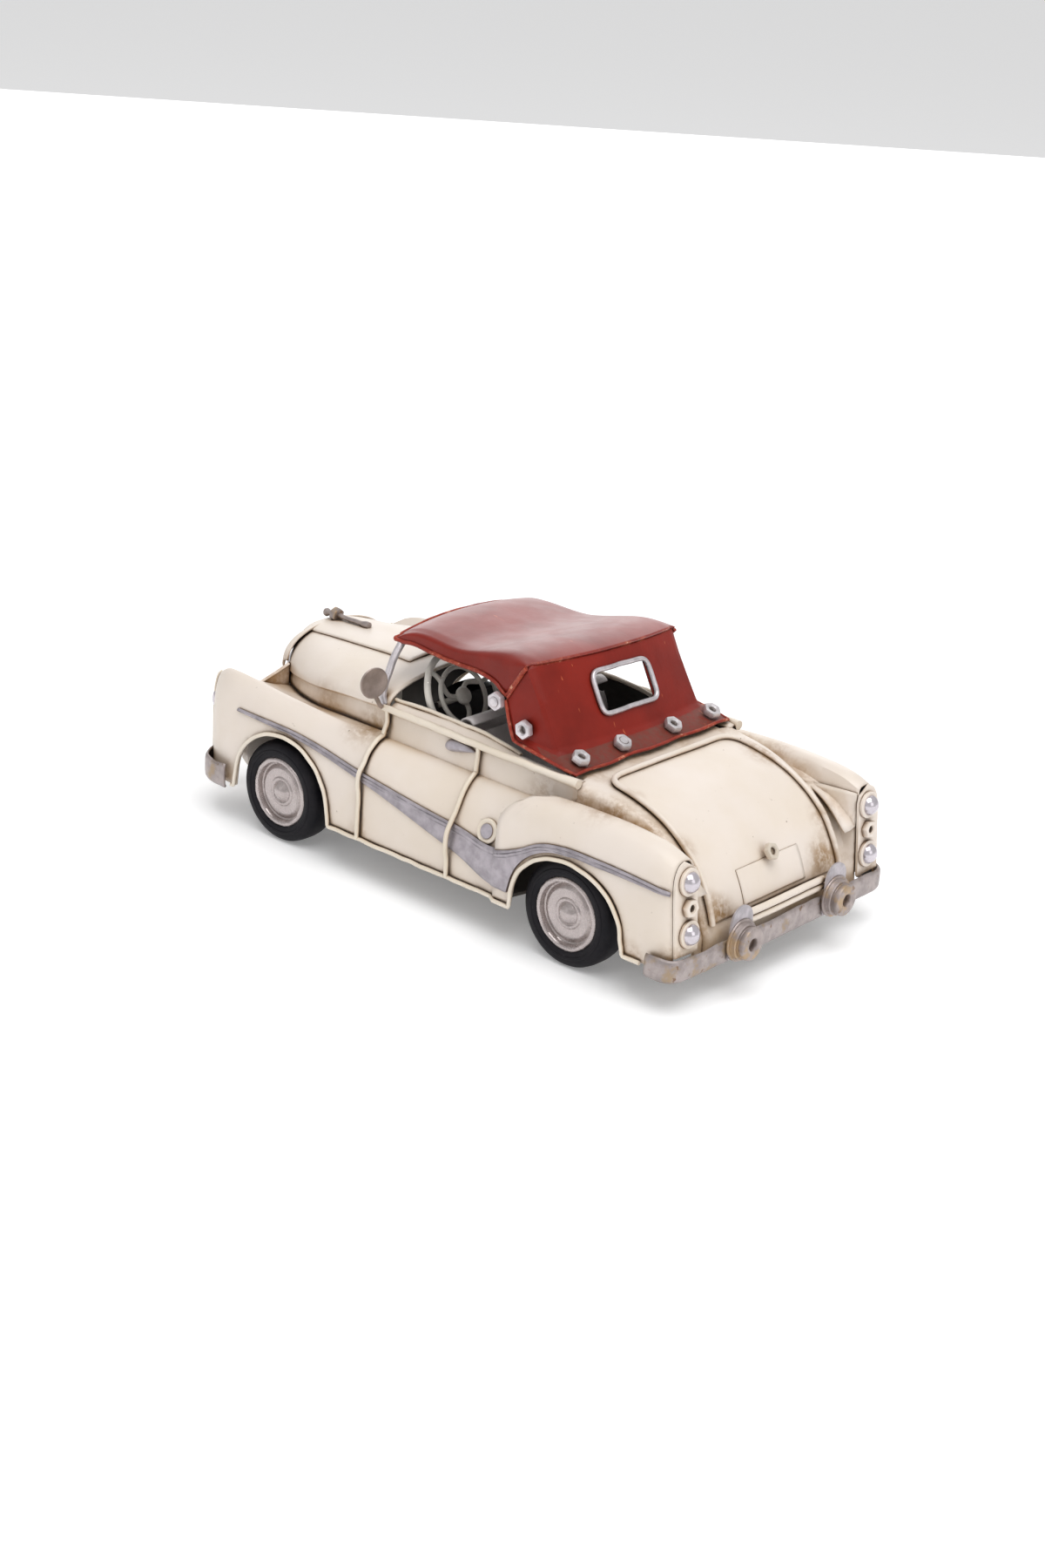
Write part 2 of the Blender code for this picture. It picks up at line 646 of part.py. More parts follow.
def spear_lower(x):
    line = smooth(x, [(-75, 28.4), (-55, 28.6), (-46, 28.0), (-38, 24.0), (-32, 16.0), (-29.6, 13.6), (-27.0, 13.4),
                      (-9.5, 17.6), (19, 24.8), (44, 29.4), (63, 30.2)])
    return max(line, over_arch(x, FRONT_ARCH), over_arch(x, REAR_ARCH))


def spear_upper(x):
    line = smooth(x, [(-75, 29.2), (-55, 30.0), (-45, 29.7), (-38, 28.2), (-31, 24.6), (-25, 22.4), (-9.5, 23.4),
                      (19, 27.0), (44, 30.6), (63, 31.0)])
    return max(line, spear_lower(x) + 0.7)


def side_spear(material):
    """Sweeping strip from the front fender to the tail."""
    rows = []
    for x in (63, 54, 49, 44, 32, 19, 5, -9.5, -18, -22.4, -24, -27, -29.2, -31, -33, -35.5, -38, -42, -47, -55, -66, -75):
        row = []
        for share in (0, 0.5, 1):
            z = spear_upper(x) * (1 - share) + spear_lower(x) * share
            row.append((x, surface_y(x, z) + GAP + 0.4, z))
        rows.append(row)
    return sheet("side_spear_left", rows, (0, 0, 25), material, thickness=0.4)


def lifted(x, z, extra=0.0):
    return (x, surface_y(x, z) + GAP + BEAD_RADIUS + extra, z)


def bead_frame(material):
    """Soldered wires: arches and sill in one run, two door uprights and the belt line."""
    low = []
    for arch in (FRONT_ARCH, REAR_ARCH):
        stations = arch_stations(arch, 12)[::-1]
        for k, x in enumerate(stations):
            if k in (0, len(stations) - 1):
                low += [lifted(x, SILL_Z)]
            else:
                low += [lifted(x, arch_edge(x, arch))]
        if arch is FRONT_ARCH:
            low += [lifted(x, SILL_Z) for x in (20, 5, -9.5, HIP_FRONT_X + 1.6, HIP_FRONT_X + 0.6)]
    frame = wire("bead_frame_left", low, BEAD_RADIUS, material)
    for number, x in enumerate((FRONT_DOOR_X, REAR_DOOR_X)):
        section = flank(x, 7)
        over = GAP + BEAD_RADIUS
        fold_y, fold_z = section[0]
        upright = [(x, BELT_Y + over, BELT_Z - 0.8), (x, BELT_Y + over + 0.1, BELT_Z - 4),
                   (x, fold_y + over + 0.15, fold_z + over + 0.3)]
        for k, (y, z) in enumerate(section[1:]):
            on_spear = spear_lower(x) - 1 < z < spear_upper(x) + 1
            a, b = Vector(section[k]), Vector(section[min(k + 2, len(section) - 1)])
            out = Vector((a.y - b.y, b.x - a.x)).normalized() * (over + (0.7 if on_spear else 0))
            upright.append((x, y + out.x, z + out.y))
        if number:
            upright.append((x, BODY_HALF_WIDTH + over, 15))
        upright.append((x, BODY_HALF_WIDTH + over, SILL_Z - 0.1))
        combine(frame, wire(f"door_bead_{number}", upright, BEAD_RADIUS - 0.04, material), "UNION")
    belt = [(x, BELT_Y + GAP + BEAD_RADIUS, belt_z(x) - 0.5) for x in (20.9, 8, -4, -16, -28, -39.6)]
    combine(frame, wire("belt_bead", belt, BEAD_RADIUS, material), "UNION")
    return frame


def bumper_strip(name, plan, low, high, material):
    """Pressed strip: a shallow channel swept along its (x, y) plan."""
    rows = []
    points = [(x, -y) for x, y in plan[:0:-1]] + plan
    for k, (x, y) in enumerate(points):
        a, b = Vector(points[max(k - 1, 0)]), Vector(points[min(k + 1, len(points) - 1)])
        out = Vector((b.y - a.y, a.x - b.x)).normalized()
        if out.dot(Vector((x, y))) < 0:
            out = -out
        row = []
        for share, bulge in ((0, 0), (0.2, 0.45), (0.8, 0.45), (1, 0)):
            row.append((x + out.x * bulge, y + out.y * bulge, low + (high - low) * share))
        rows.append(row)
    return sheet(name, rows, (0, 0, (low + high) / 2), material)


SIDE_Y = HIP_HALF_WIDTH + 0.4  # outside of the body, where the bumpers' ends wrap round


def front_bumper(material):
    nose = BUMPER_X - 2.0
    plan = [(nose, 0), (nose - 0.2, 12), (nose - 0.8, 24), (nose - 1.7, 31), (78.4, SIDE_Y - 4.4),
            (75.8, SIDE_Y - 1.4), (71.5, SIDE_Y - 0.1), (66.0, SIDE_Y + 0.1)]
    strip = bumper_strip("front_bumper", plan, 9.4, 15.6, material)
    for side in (1, -1):
        guard = lathe(f"front_guard_{side}", [(0, 0), (3.2, 0), (3.2, 1.6), (2.2, 3.0), (0, 3.2)], material, segments=12)
        aim(guard, (BUMPER_X - 3.2, side * 18, 12.5), (1, 0, 0))
        combine(strip, guard, "UNION")
    return strip


def rear_bumper(material):
    plan = [(-78.9, 0), (-78.9, 14), (-78.8, 26), (-78.6, SIDE_Y - 5.8), (-77.8, SIDE_Y - 1.2), (-75.0, SIDE_Y + 0.4),
            (-72.5, SIDE_Y + 0.6), (-70.6, SIDE_Y + 0.6)]
    return bumper_strip("rear_bumper", plan, 8.2, 13.8, material)


def rear_overrider(name, side, material):
    """Washer, stepped cup and ring, turned about one axis."""
    profile = [(0, 0), (5.8, 0), (5.8, 0.6), (4.4, 0.6), (4.4, 1.6), (3.3, 1.9), (3.3, 3.6), (2.9, 3.9), (1.3, 3.9),
               (1.3, 2.6), (0, 2.6)]
    length = profile[7][1]
    return aim(lathe(name, profile, material, segments=18), (-BUMPER_X + length, side * 18, 13), (-1, 0, 0))


def tail_lamp_panel(material):
    """Plate closing the hip's tail, with two domed lamps and a nut between them."""
    outline = [(30.9, 13.6), (30.9, 30.5)] + [(y, z) for y, z in hip_flank(TAIL_X)[1:-1]] + [(hip_width(TAIL_X), 14.0)]
    plate = prism("tail_lamp_panel_left", [(-y, z) for y, z in outline], 0, TIN, material)
    foot = TAIL_X - GAP - 14 * TAIL_LEAN
    plate.data.transform(Matrix(((0, TAIL_LEAN, -1, foot * MM), (-1, 0, 0, 0), (0, 1, 0, 0), (0, 0, 0, 1))))
    dome = [(0, 0), (2.9, 0), (2.9, 0.9), (2.2, 1.0), (2.0, 1.8), (1.3, 2.6), (0, 2.9)]
    for k, z in enumerate((30.4, 18.4)):
        lamp = lathe(f"tail_lamp_{k}", dome, material, segments=12)
        combine(plate, aim(lamp, (foot + TAIL_LEAN * z - 0.3, 34.0, z), (-1, 0, TAIL_LEAN)), "UNION")
    ring = [(0, 0), (2.2, 0), (2.2, 1.6), (1.0, 1.6), (1.0, 0.9), (0, 0.9)]
    bolt = lathe("tail_nut", ring, material, segments=6)
    return combine(plate, aim(bolt, (foot + TAIL_LEAN * 24.5 - 0.3, 34.0, 24.5), (-1, 0, TAIL_LEAN)), "UNION")


def headlamp(material):
    """Lamp bezel and lens on the plate that closes the fender's tip."""
    outline = [(25.6, 16.4), (32.6, 16.4)] + [(y, z) for y, z in front_flank(FENDER_TIP_X)[::-1]] + [(25.6, 32.2)]
    plate = prism("headlamp_left", outline, 0, TIN, material)
    plate.data.transform(Matrix(((0, 0, 1, (FENDER_TIP_X + GAP) * MM), (1, 0, 0, 0), (0, 1, 0, 0), (0, 0, 0, 1))))
    profile = [(0, 0), (4.2, 0), (4.2, 1.4), (3.6, 2.0), (3.2, 1.4), (2.6, 2.2), (1.4, 2.8), (0, 3.0)]
    lamp = lathe("headlamp_lens", profile, material, segments=14)
    return combine(plate, aim(lamp, (FENDER_TIP_X + GAP + 0.3, 29.3, 28.0), (1, 0, 0)), "UNION")


def door_handle(material):
    """Leaf-shaped grip under the belt line."""
    outline = [(4.2 * math.cos(a), 1.1 * math.sin(a) * (1.2 + 0.5 * math.cos(a))) for a in np.linspace(0, 2 * math.pi, 13)[:-1]]
    leaf = stack("door_handle_left", [(0, outline), (0.8, outline), (1.2, [(x * 0.6, y * 0.6) for x, y in outline])], material)
    return aim(leaf, (-3.6, BELT_Y + GAP, 38.4), (0, 1, 0))


def fuel_cap(material):
    profile = [(0, 0), (2.6, 0), (2.6, 0.5), (2.0, 0.9), (0, 1.0)]
    high, low = surface_y(-19.5, 27.0), surface_y(-19.5, 22.0)
    slope = Vector((0, 5.0, low - high)).normalized()
    y = surface_y(-19.5, 24.8) + GAP / slope.y
    return aim(lathe("fuel_cap", profile, material, segments=16), (-19.5, y, 24.8), slope)


def mirror(material):
    """Round mirror on a bent stem beside the windscreen's left foot."""
    face = lathe("mirror", [(0, 0), (3.7, 0), (3.7, 0.6), (2.6, 1.1), (0, 1.3)], material, segments=20)
    face = baked(aim(face, (20.0, 34.6, 48.6), (1, 0.15, 0.1)), "mirror_face")
    stem = wire("mirror", [(20.6, 34.6, 48.6), (21.0, 33.6, 46.2), (21.6, 31.8, 43.6), (21.6, 31.6, 42.6)], 0.5, material)
    combine(stem, face, "UNION")
    for obj in list(bpy.data.objects):
        if obj.name.startswith("mirror") and obj not in (stem, face):
            drop(obj)
    stem.name = "mirror"
    return stem


def hood_ornament(material):
    """Small nut and rod lying on the nose."""
    points = [(x, 0, hood_lines(x)[2] + 2 * GAP + TIN + lift) for x, lift in ((57.4, 0.7), (62, 0.8), (68.6, 1.4), (72.6, 1.7))]
    rod = wire("hood_ornament", points, 0.7, material)
    body = lathe("ornament_nut", [(0, -1), (1.6, -1), (1.6, 1), (0, 1)], material, segments=8)
    return combine(rod, aim(body, points[2], (1, 0, 0)), "UNION")


def windscreen_frame(material):
    """Wire hoop over the cowl, its top rail under the roof's front edge."""
    side = [(22.8, 28.5, 43.8), (23.5, 27.2, 47.0), (23.8, 24.9, 51.2), (23.6, 22.7, 53.6), (23.4, 20.6, 55.0)]
    rail = [(23.6 + 1.0 * (1 - (y / 20) ** 2), y, ROOF_Z - 6.9 + 1.4 * (1 - (y / 20) ** 2)) for y in (18, 12, 6, 0)]
    half = side + rail
    loop = half + [(x, -y, z) for x, y, z in half[-2::-1]]
    return wire("windscreen_frame", loop, 0.8, material)


# ---------------------------------------------------------------- cabin

STEERING_CENTRE = Vector((11.4, 13.0, 43.4))
STEERING_TILT = math.radians(30)
STEERING_AXIS = Vector((math.cos(STEERING_TILT), 0, -math.sin(STEERING_TILT)))
STEERING_RADIUS = 11.4
COLUMN_RADIUS = 0.8


def steering_ring(radius, count=18):
    up = Vector((math.sin(STEERING_TILT), 0, math.cos(STEERING_TILT)))
    return [
        STEERING_CENTRE + up * radius * math.cos(a) + Vector((0, 1, 0)) * radius * math.sin(a)
        for a in np.linspace(0, 2 * math.pi, count + 1)[:-1]
    ]


def steering_wheel(material):
    """Two wire rings on curved spokes, soldered to the column."""
    wheel = wire("steering_wheel", steering_ring(STEERING_RADIUS), 0.7, material, closed=True)
    combine(wheel, wire("horn_ring", steering_ring(7.4, 16), 0.5, material, closed=True), "UNION")
    for k in range(3):
        rim, hub = steering_ring(STEERING_RADIUS, 24)[8 * k + 3], steering_ring(0.2, 24)[8 * k + 3]
        spoke = wire(f"spoke_{k}", [hub, (hub + rim) / 2 + STEERING_AXIS * 0.15, rim], 0.55, material)
        combine(wheel, spoke, "UNION")
    column = wire("column", [STEERING_CENTRE - STEERING_AXIS * 0.9, STEERING_CENTRE + STEERING_AXIS * 13.5], COLUMN_RADIUS, material)
    combine(wheel, column, "UNION")
    turned = baked(wheel, "steering_wheel")
    drop(wheel)
    turned.name = "steering_wheel"
    turned.data.transform(Matrix.Translation(-STEERING_CENTRE * MM))
    turned.location = STEERING_CENTRE * MM
    return turned


def dashboard(material):
    """Upright panel under the cowl, with the hole that the column turns in."""
    panel = box("dashboard", (18.6, -26.5, 29.5), (19.4, 26.5, 39.6), material)
    reach = (19.0 - STEERING_CENTRE.x) / STEERING_AXIS.x
    drill(panel, "column_hole", STEERING_CENTRE + STEERING_AXIS * reach, STEERING_AXIS, COLUMN_RADIUS + GAP, 8, material)
    return panel


def front_seat(material):
    """Bench bent from one sheet, its top edge curled into a tube."""
    curl = [(-0.6 + 1.6 * math.cos(a), 41.2 + 1.6 * math.sin(a)) for a in np.linspace(-2.4, 2.2, 9)]
    profile = curl + [(-3.0, 39.0), (-5.4, 24), (-3.0, 21.6), (8.6, 22.2), (9.6, 21.0), (9.6, FLOOR_Z + FLOOR_THICKNESS + GAP)]
    rows = [[(x, y, z) for x, z in profile] for y in (-24.5, 24.5)]
    return sheet("front_seat", rows, (4, 0, 30), material)


# ---------------------------------------------------------------- running gear

def tyre(name, x, side, material):
    inner, half = RIM_RADIUS + GAP, TYRE_WIDTH / 2
    profile = [(inner, -half + 0.6), (inner + 1.5, -half), (TYRE_RADIUS - 1.6, -half + 0.2), (TYRE_RADIUS - 0.3, -half + 1.2),
               (TYRE_RADIUS, 0), (TYRE_RADIUS - 0.3, half - 1.2), (TYRE_RADIUS - 1.6, half - 0.2), (inner + 1.5, half),
               (inner, half - 0.6)]
    solid = lathe(name, profile, material, closed=True)
    return aim(solid, (x, side * (WHEEL_FACE_Y - half), AXLE_Z), (0, side, 0))


def wheel_disc(name, x, side, material):
    """Pressed disc with a rolled rim and a domed cap, its blind hub over the axle's end."""
    bore = AXLE_RADIUS + GAP
    profile = [(0, 0.2), (1.4, 0.0), (2.6, -0.9), (3.2, -1.6), (5.2, -1.3), (6.6, -1.9), (7.4, -0.7), (RIM_RADIUS, -0.9),
               (RIM_RADIUS, -7.4), (RIM_RADIUS - 0.8, -7.4), (RIM_RADIUS - 0.9, -2.8), (bore + 1.2, -2.6),
               (bore + 1.2, -7.0), (bore, -7.0), (bore, -1.6), (0, -1.5)]
    solid = lathe(name, profile, material, segments=16)
    return aim(solid, (x, side * WHEEL_FACE_Y, AXLE_Z), (0, side, 0))


def gear(teeth, phase, points_per_tooth=4):
    """Outline of a gear with tapered teeth, one of them centred on the phase angle."""
    pitch = 2 * math.pi / teeth
    tip = GEAR_MODULE * (teeth / 2 + 0.8)
    root = GEAR_MODULE * (teeth / 2 - 1.1)
    steps = [(-0.27, root), (-0.1, tip), (0.1, tip), (0.27, root)]
    if points_per_tooth == 8:
        steps = [(-0.5, root), (-0.36, root)] + steps + [(0.36, root), (0.43, root)]
    outline = []
    for k in range(teeth):
        for share, radius in steps:
            angle = phase + (k + share) * pitch
            outline.append((radius * math.cos(angle), radius * math.sin(angle)))
    return outline


def centre_distance(first, second):
    return GEAR_MODULE * (first + second) / 2 + MESH_SLACK


def motor_places():
    """(x, z) of the rear axle, the layshaft and the flywheel's shaft."""
    axle = Vector((REAR_AXLE_X, AXLE_Z))
    layshaft = axle + Vector((math.cos(LAYSHAFT_ANGLE), math.sin(LAYSHAFT_ANGLE))) * centre_distance(AXLE_TEETH, PINION_TEETH)
    reach = centre_distance(LAYSHAFT_TEETH, PINION_TEETH)
    return axle, layshaft, layshaft + Vector((math.cos(FLYWHEEL_ANGLE), math.sin(FLYWHEEL_ANGLE))) * reach


def along_y(obj, x, z):
    """Lays a stack on its side: its local Z along world Y, its outline in world X and Z."""
    obj.data.transform(Matrix(((1, 0, 0, 0), (0, 0, 1, 0), (0, 1, 0, 0), (0, 0, 0, 1))))
    obj.data.flip_normals()
    obj.location = (x * MM, 0, z * MM)
    return obj


GEAR_Y = (-5.0, 1.2)  # near edges of the two gear pairs


def axle_length():
    return WHEEL_FACE_Y - 1.6 - GAP


def front_axle(material):
    reach = axle_length()
    return along_y(prism("front_axle", circle(AXLE_RADIUS, 12), -reach, reach, material), FRONT_AXLE_X, AXLE_Z)


def rear_axle(material):
    """Axle with its drive gear pressed on."""
    reach, count = axle_length(), 4 * AXLE_TEETH
    low, high = GEAR_Y[0], GEAR_Y[0] + GEAR_FACE
    thin, toothed = circle(AXLE_RADIUS, count), gear(AXLE_TEETH, LAYSHAFT_ANGLE)
    rings = [(-reach, thin), (low, thin), (low, toothed), (high, toothed), (high, thin), (reach, thin)]
    return along_y(stack("rear_axle", rings, material), REAR_AXLE_X, AXLE_Z)


def layshaft(material):
    """Shaft with the pinion driven by the axle and the wheel that drives the flywheel."""
    _, (x, z), _ = motor_places()
    count = 4 * LAYSHAFT_TEETH
    pinion = gear(PINION_TEETH, LAYSHAFT_ANGLE + math.pi + math.pi / PINION_TEETH, 8)
    wheel = gear(LAYSHAFT_TEETH, FLYWHEEL_ANGLE)
    reach = MOTOR_HALF_WIDTH + 0.6
    thin = circle(SHAFT_RADIUS, count)
    first, second = GEAR_Y
    rings = [(-reach, thin), (first, thin), (first, pinion), (first + GEAR_FACE, pinion), (first + GEAR_FACE, thin),
             (second, thin), (second, wheel), (second + GEAR_FACE, wheel), (second + GEAR_FACE, thin), (reach, thin)]
    return along_y(stack("layshaft", rings, material), x, z)


def flywheel(material):
    """Heavy disc outside the motor frame, on a shaft with its pinion."""
    _, _, (x, z) = motor_places()
    count = 4 * PINION_TEETH
    pinion = gear(PINION_TEETH, FLYWHEEL_ANGLE + math.pi + math.pi / PINION_TEETH)
    thin, heavy = circle(SHAFT_RADIUS, count), circle(FLYWHEEL_RADIUS, count)
    start, end = GEAR_Y[1], GEAR_Y[1] + GEAR_FACE
    disc = MOTOR_HALF_WIDTH + 2.2
    rings = [(-MOTOR_HALF_WIDTH - 0.6, thin), (start, thin), (start, pinion), (end, pinion), (end, thin), (disc, thin),
             (disc, heavy), (disc + FLYWHEEL_WIDTH, heavy), (disc + FLYWHEEL_WIDTH, thin), (disc + FLYWHEEL_WIDTH + 0.8, thin)]
    return along_y(stack("flywheel", rings, material), x, z)


def motor_frame(material):
    """Channel of thick tin whose two cheeks carry the three shafts."""
    low = FLOOR_Z + FLOOR_THICKNESS + GAP
    axle, lay, fly = motor_places()
    top = lay.y + GEAR_MODULE * (LAYSHAFT_TEETH / 2 + 0.8) + 1.2
    start, end = axle.x - 5.5, fly.x + 4.5
    frame = box("motor_frame", (start, -MOTOR_HALF_WIDTH, low), (end, MOTOR_HALF_WIDTH, top), material)
    inner = MOTOR_HALF_WIDTH - 0.9
    combine(frame, box("motor_hollow", (start - 2, -inner, low - 2), (end + 2, inner, top - 0.9), material), "DIFFERENCE")
    for name, place, radius in (("axle_hole", axle, AXLE_RADIUS), ("lay_hole", lay, SHAFT_RADIUS), ("fly_hole", fly, SHAFT_RADIUS)):
        drill(frame, name, (place.x, 0, place.y), (0, 1, 0), radius + GAP, 4 * MOTOR_HALF_WIDTH, material)
    return frame


def floor_pan(material):
    """Flat floor, narrow between the wheels, with ears for the front axle and a slot for the drive gear."""
    narrow = WHEEL_FACE_Y - TYRE_WIDTH - 2.4
    wide = BODY_HALF_WIDTH - TIN - GAP
    rear, front = REAR_ARCH[0] + REAR_ARCH[1] + 3.2, FRONT_ARCH[0] - FRONT_ARCH[1] - 1.4
    half = [(66.0, narrow - 4), (front + 2, narrow), (front, wide), (rear, wide), (rear - 2, narrow), (-73.0, narrow - 2)]
    outline = half + [(x, -y) for x, y in half[::-1]]
    pan = prism("floor_pan", outline, FLOOR_Z, FLOOR_Z + FLOOR_THICKNESS, material)
    for side in (1, -1):
        y = side * 20
        ear = box(f"axle_ear_{side}", (FRONT_AXLE_X - 4, y - 0.4, FLOOR_Z + 0.1), (FRONT_AXLE_X + 4, y + 0.4, AXLE_Z + 4), material)
        combine(pan, ear, "UNION")
    drill(pan, "front_axle_hole", (FRONT_AXLE_X, 0, AXLE_Z), (0, 1, 0), AXLE_RADIUS + GAP, 60, material)
    reach = GEAR_MODULE * (AXLE_TEETH / 2 + 0.8) + 1
    low, high = GEAR_Y[0] - 0.6, GEAR_Y[0] + GEAR_FACE + 0.6
    slot = box("gear_slot", (REAR_AXLE_X - reach, low, FLOOR_Z - 2), (REAR_AXLE_X + reach, high, FLOOR_Z + 3), material)
    return combine(pan, slot, "DIFFERENCE")


# ---------------------------------------------------------------- assembly

def pair(obj):
    """Adds the right-hand twin of a left-hand piece."""
    mirrored(obj, obj.name.replace("left", "right"))


def main():
    for obj in list(bpy.data.objects):
        bpy.data.objects.remove(obj)
    cream = finish("cream_paint", (0.72, 0.64, 0.49), 0.42, 0.0)
    red = finish("red_paint", (0.30, 0.03, 0.02), 0.4, 0.0)
    silver = finish("silver_paint", (0.52, 0.50, 0.50), 0.35, 0.6)
    grey = finish("seat_grey", (0.20, 0.20, 0.20), 0.5, 0.0)
    rubber = finish("tyre_rubber", (0.02, 0.02, 0.023), 0.6, 0.0)
    steel = finish("bright_steel", (0.55, 0.55, 0.55), 0.35, 1.0)
    brass = finish("gear_brass", (0.65, 0.45, 0.17), 0.35, 1.0)

    for make in (front_fender, body_side, rear_fender, bead_frame):
        pair(make(cream))
    for make in (hood, hood_center_panel, front_panel, rear_deck, boot_lid, floor_pan):
        make(cream)
    soft_top_roof(red)
    rear_curtain(red)
    soft_top_nuts(silver)
    for make in (side_spear, tail_lamp_panel, headlamp, door_handle):
        pair(make(silver))
    for make in (grille, rear_window_frame, front_bumper, rear_bumper, fuel_cap, mirror, hood_ornament, windscreen_frame):
        make(silver)
    for side, word in ((1, "left"), (-1, "right")):
        rear_overrider(f"rear_overrider_{word}", side, brass)
        for x, place in ((FRONT_AXLE_X, "front"), (REAR_AXLE_X, "rear")):
            tyre(f"tyre_{place}_{word}", x, side, rubber)
            wheel_disc(f"wheel_{place}_{word}", x, side, silver)
    nut("boot_handle", (-72.9, 0, 26.8), (-0.86, 0, 0.51), silver, flats=3.8)
    for make in (steering_wheel, dashboard, front_seat):
        make(grey)
    for make in (front_axle, rear_axle, motor_frame):
        make(steel)
    layshaft(brass)
    flywheel(brass)


main()
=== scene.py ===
"""Looks of the friction tin car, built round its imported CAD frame.

Lengths are millimetres until MM turns them into metres. X points to the front, Y to the left, Z up.
"""

import math

import bmesh
import bpy
import numpy as np
from mathutils import Matrix, Vector, noise


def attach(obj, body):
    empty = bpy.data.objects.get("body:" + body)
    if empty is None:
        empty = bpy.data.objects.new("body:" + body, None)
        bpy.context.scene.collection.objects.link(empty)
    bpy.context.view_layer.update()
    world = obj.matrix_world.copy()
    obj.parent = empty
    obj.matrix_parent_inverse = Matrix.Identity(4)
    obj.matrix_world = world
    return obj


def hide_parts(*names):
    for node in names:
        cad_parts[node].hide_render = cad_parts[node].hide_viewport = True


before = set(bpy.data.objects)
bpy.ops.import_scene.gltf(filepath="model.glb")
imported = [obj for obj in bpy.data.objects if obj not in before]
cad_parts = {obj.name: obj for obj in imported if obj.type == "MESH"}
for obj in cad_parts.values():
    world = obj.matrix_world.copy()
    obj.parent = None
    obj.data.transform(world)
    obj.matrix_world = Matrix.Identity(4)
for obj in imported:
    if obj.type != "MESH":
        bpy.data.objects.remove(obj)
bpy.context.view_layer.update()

MM = 0.001
NOISE_SEED = 7
LENS, SENSOR = 58.05, 36.0
WORLD_LIGHT, FLOOR_GLOW, FLOOR_HALF = 0.54, 0.17, 6  # the floor's half side is in metres
LIGHTS = (  # name, place, side in metres, power
    ("key", (-250, 150, 900), 0.8, 5.6),
    ("side", (250, 900, 450), 0.6, 0.35),
    ("back", (-900, 100, 400), 0.5, 0.9),
    ("sheen", (780, -920, 500), 1.1, 4.0),
)
LIT_POINT = (0, 0, 30)
TIN, BEAD = 0.6, 0.52  # sheet thickness and wire radius


noise.seed_set(NOISE_SEED)  # left unseeded, noise_vector starts from the clock


# ---------------------------------------------------------------- camera, light and floor

def make_camera():
    """Camera fitted to the car's symmetry and its round wheels."""
    data = bpy.data.cameras.new("camera")
    data.lens, data.sensor_width, data.clip_start, data.clip_end = LENS, SENSOR, 0.01, 20.0
    camera = bpy.data.objects.new("camera", data)
    bpy.context.scene.collection.objects.link(camera)
    camera.matrix_world = Matrix((
        (-0.74388, 0.29078, -0.60175, -371.794 * MM),
        (-0.66554, -0.24029, 0.70663, 438.954 * MM),
        (0.06089, 0.92613, 0.37227, 251.253 * MM),
        (0, 0, 0, 1),
    ))
    bpy.context.scene.camera = camera


def area_light(name, place, size, power):
    data = bpy.data.lights.new(name, "AREA")
    data.shape, data.size, data.energy = "SQUARE", size, power
    light = bpy.data.objects.new(name, data)
    bpy.context.scene.collection.objects.link(light)
    light.location = Vector(place) * MM
    light.rotation_euler = (Vector(LIT_POINT) - Vector(place)).to_track_quat("-Z", "Y").to_euler()


def make_studio():
    scene = bpy.context.scene
    scene.view_settings.view_transform = "Standard"
    world = bpy.data.worlds.new("world")
    scene.world = world
    world.use_nodes = True
    world.node_tree.nodes["Background"].inputs["Color"].default_value = (1.0, 1.0, 1.0, 1)
    world.node_tree.nodes["Background"].inputs["Strength"].default_value = WORLD_LIGHT
    for light in LIGHTS:
        area_light(*light)
    mesh = bpy.data.meshes.new("floor")
    bm = bmesh.new()
    bmesh.ops.create_grid(bm, x_segments=4, y_segments=4, size=FLOOR_HALF)
    bm.to_mesh(mesh)
    bm.free()
    floor = bpy.data.objects.new("floor", mesh)
    scene.collection.objects.link(floor)
    made = bpy.data.materials.new("floor_white")
    made.use_nodes = True
    shader = made.node_tree.nodes["Principled BSDF"]
    shader.inputs["Base Color"].default_value = (0.96, 0.96, 0.965, 1)
    shader.inputs["Emission Color"].default_value = (1, 1, 1, 1)
    shader.inputs["Emission Strength"].default_value = FLOOR_GLOW
    shader.inputs["Roughness"].default_value = 0.9
    shader.inputs["Specular IOR Level"].default_value = 0.1
    mesh.materials.append(made)


make_camera()
make_studio()


# ---------------------------------------------------------------- materials

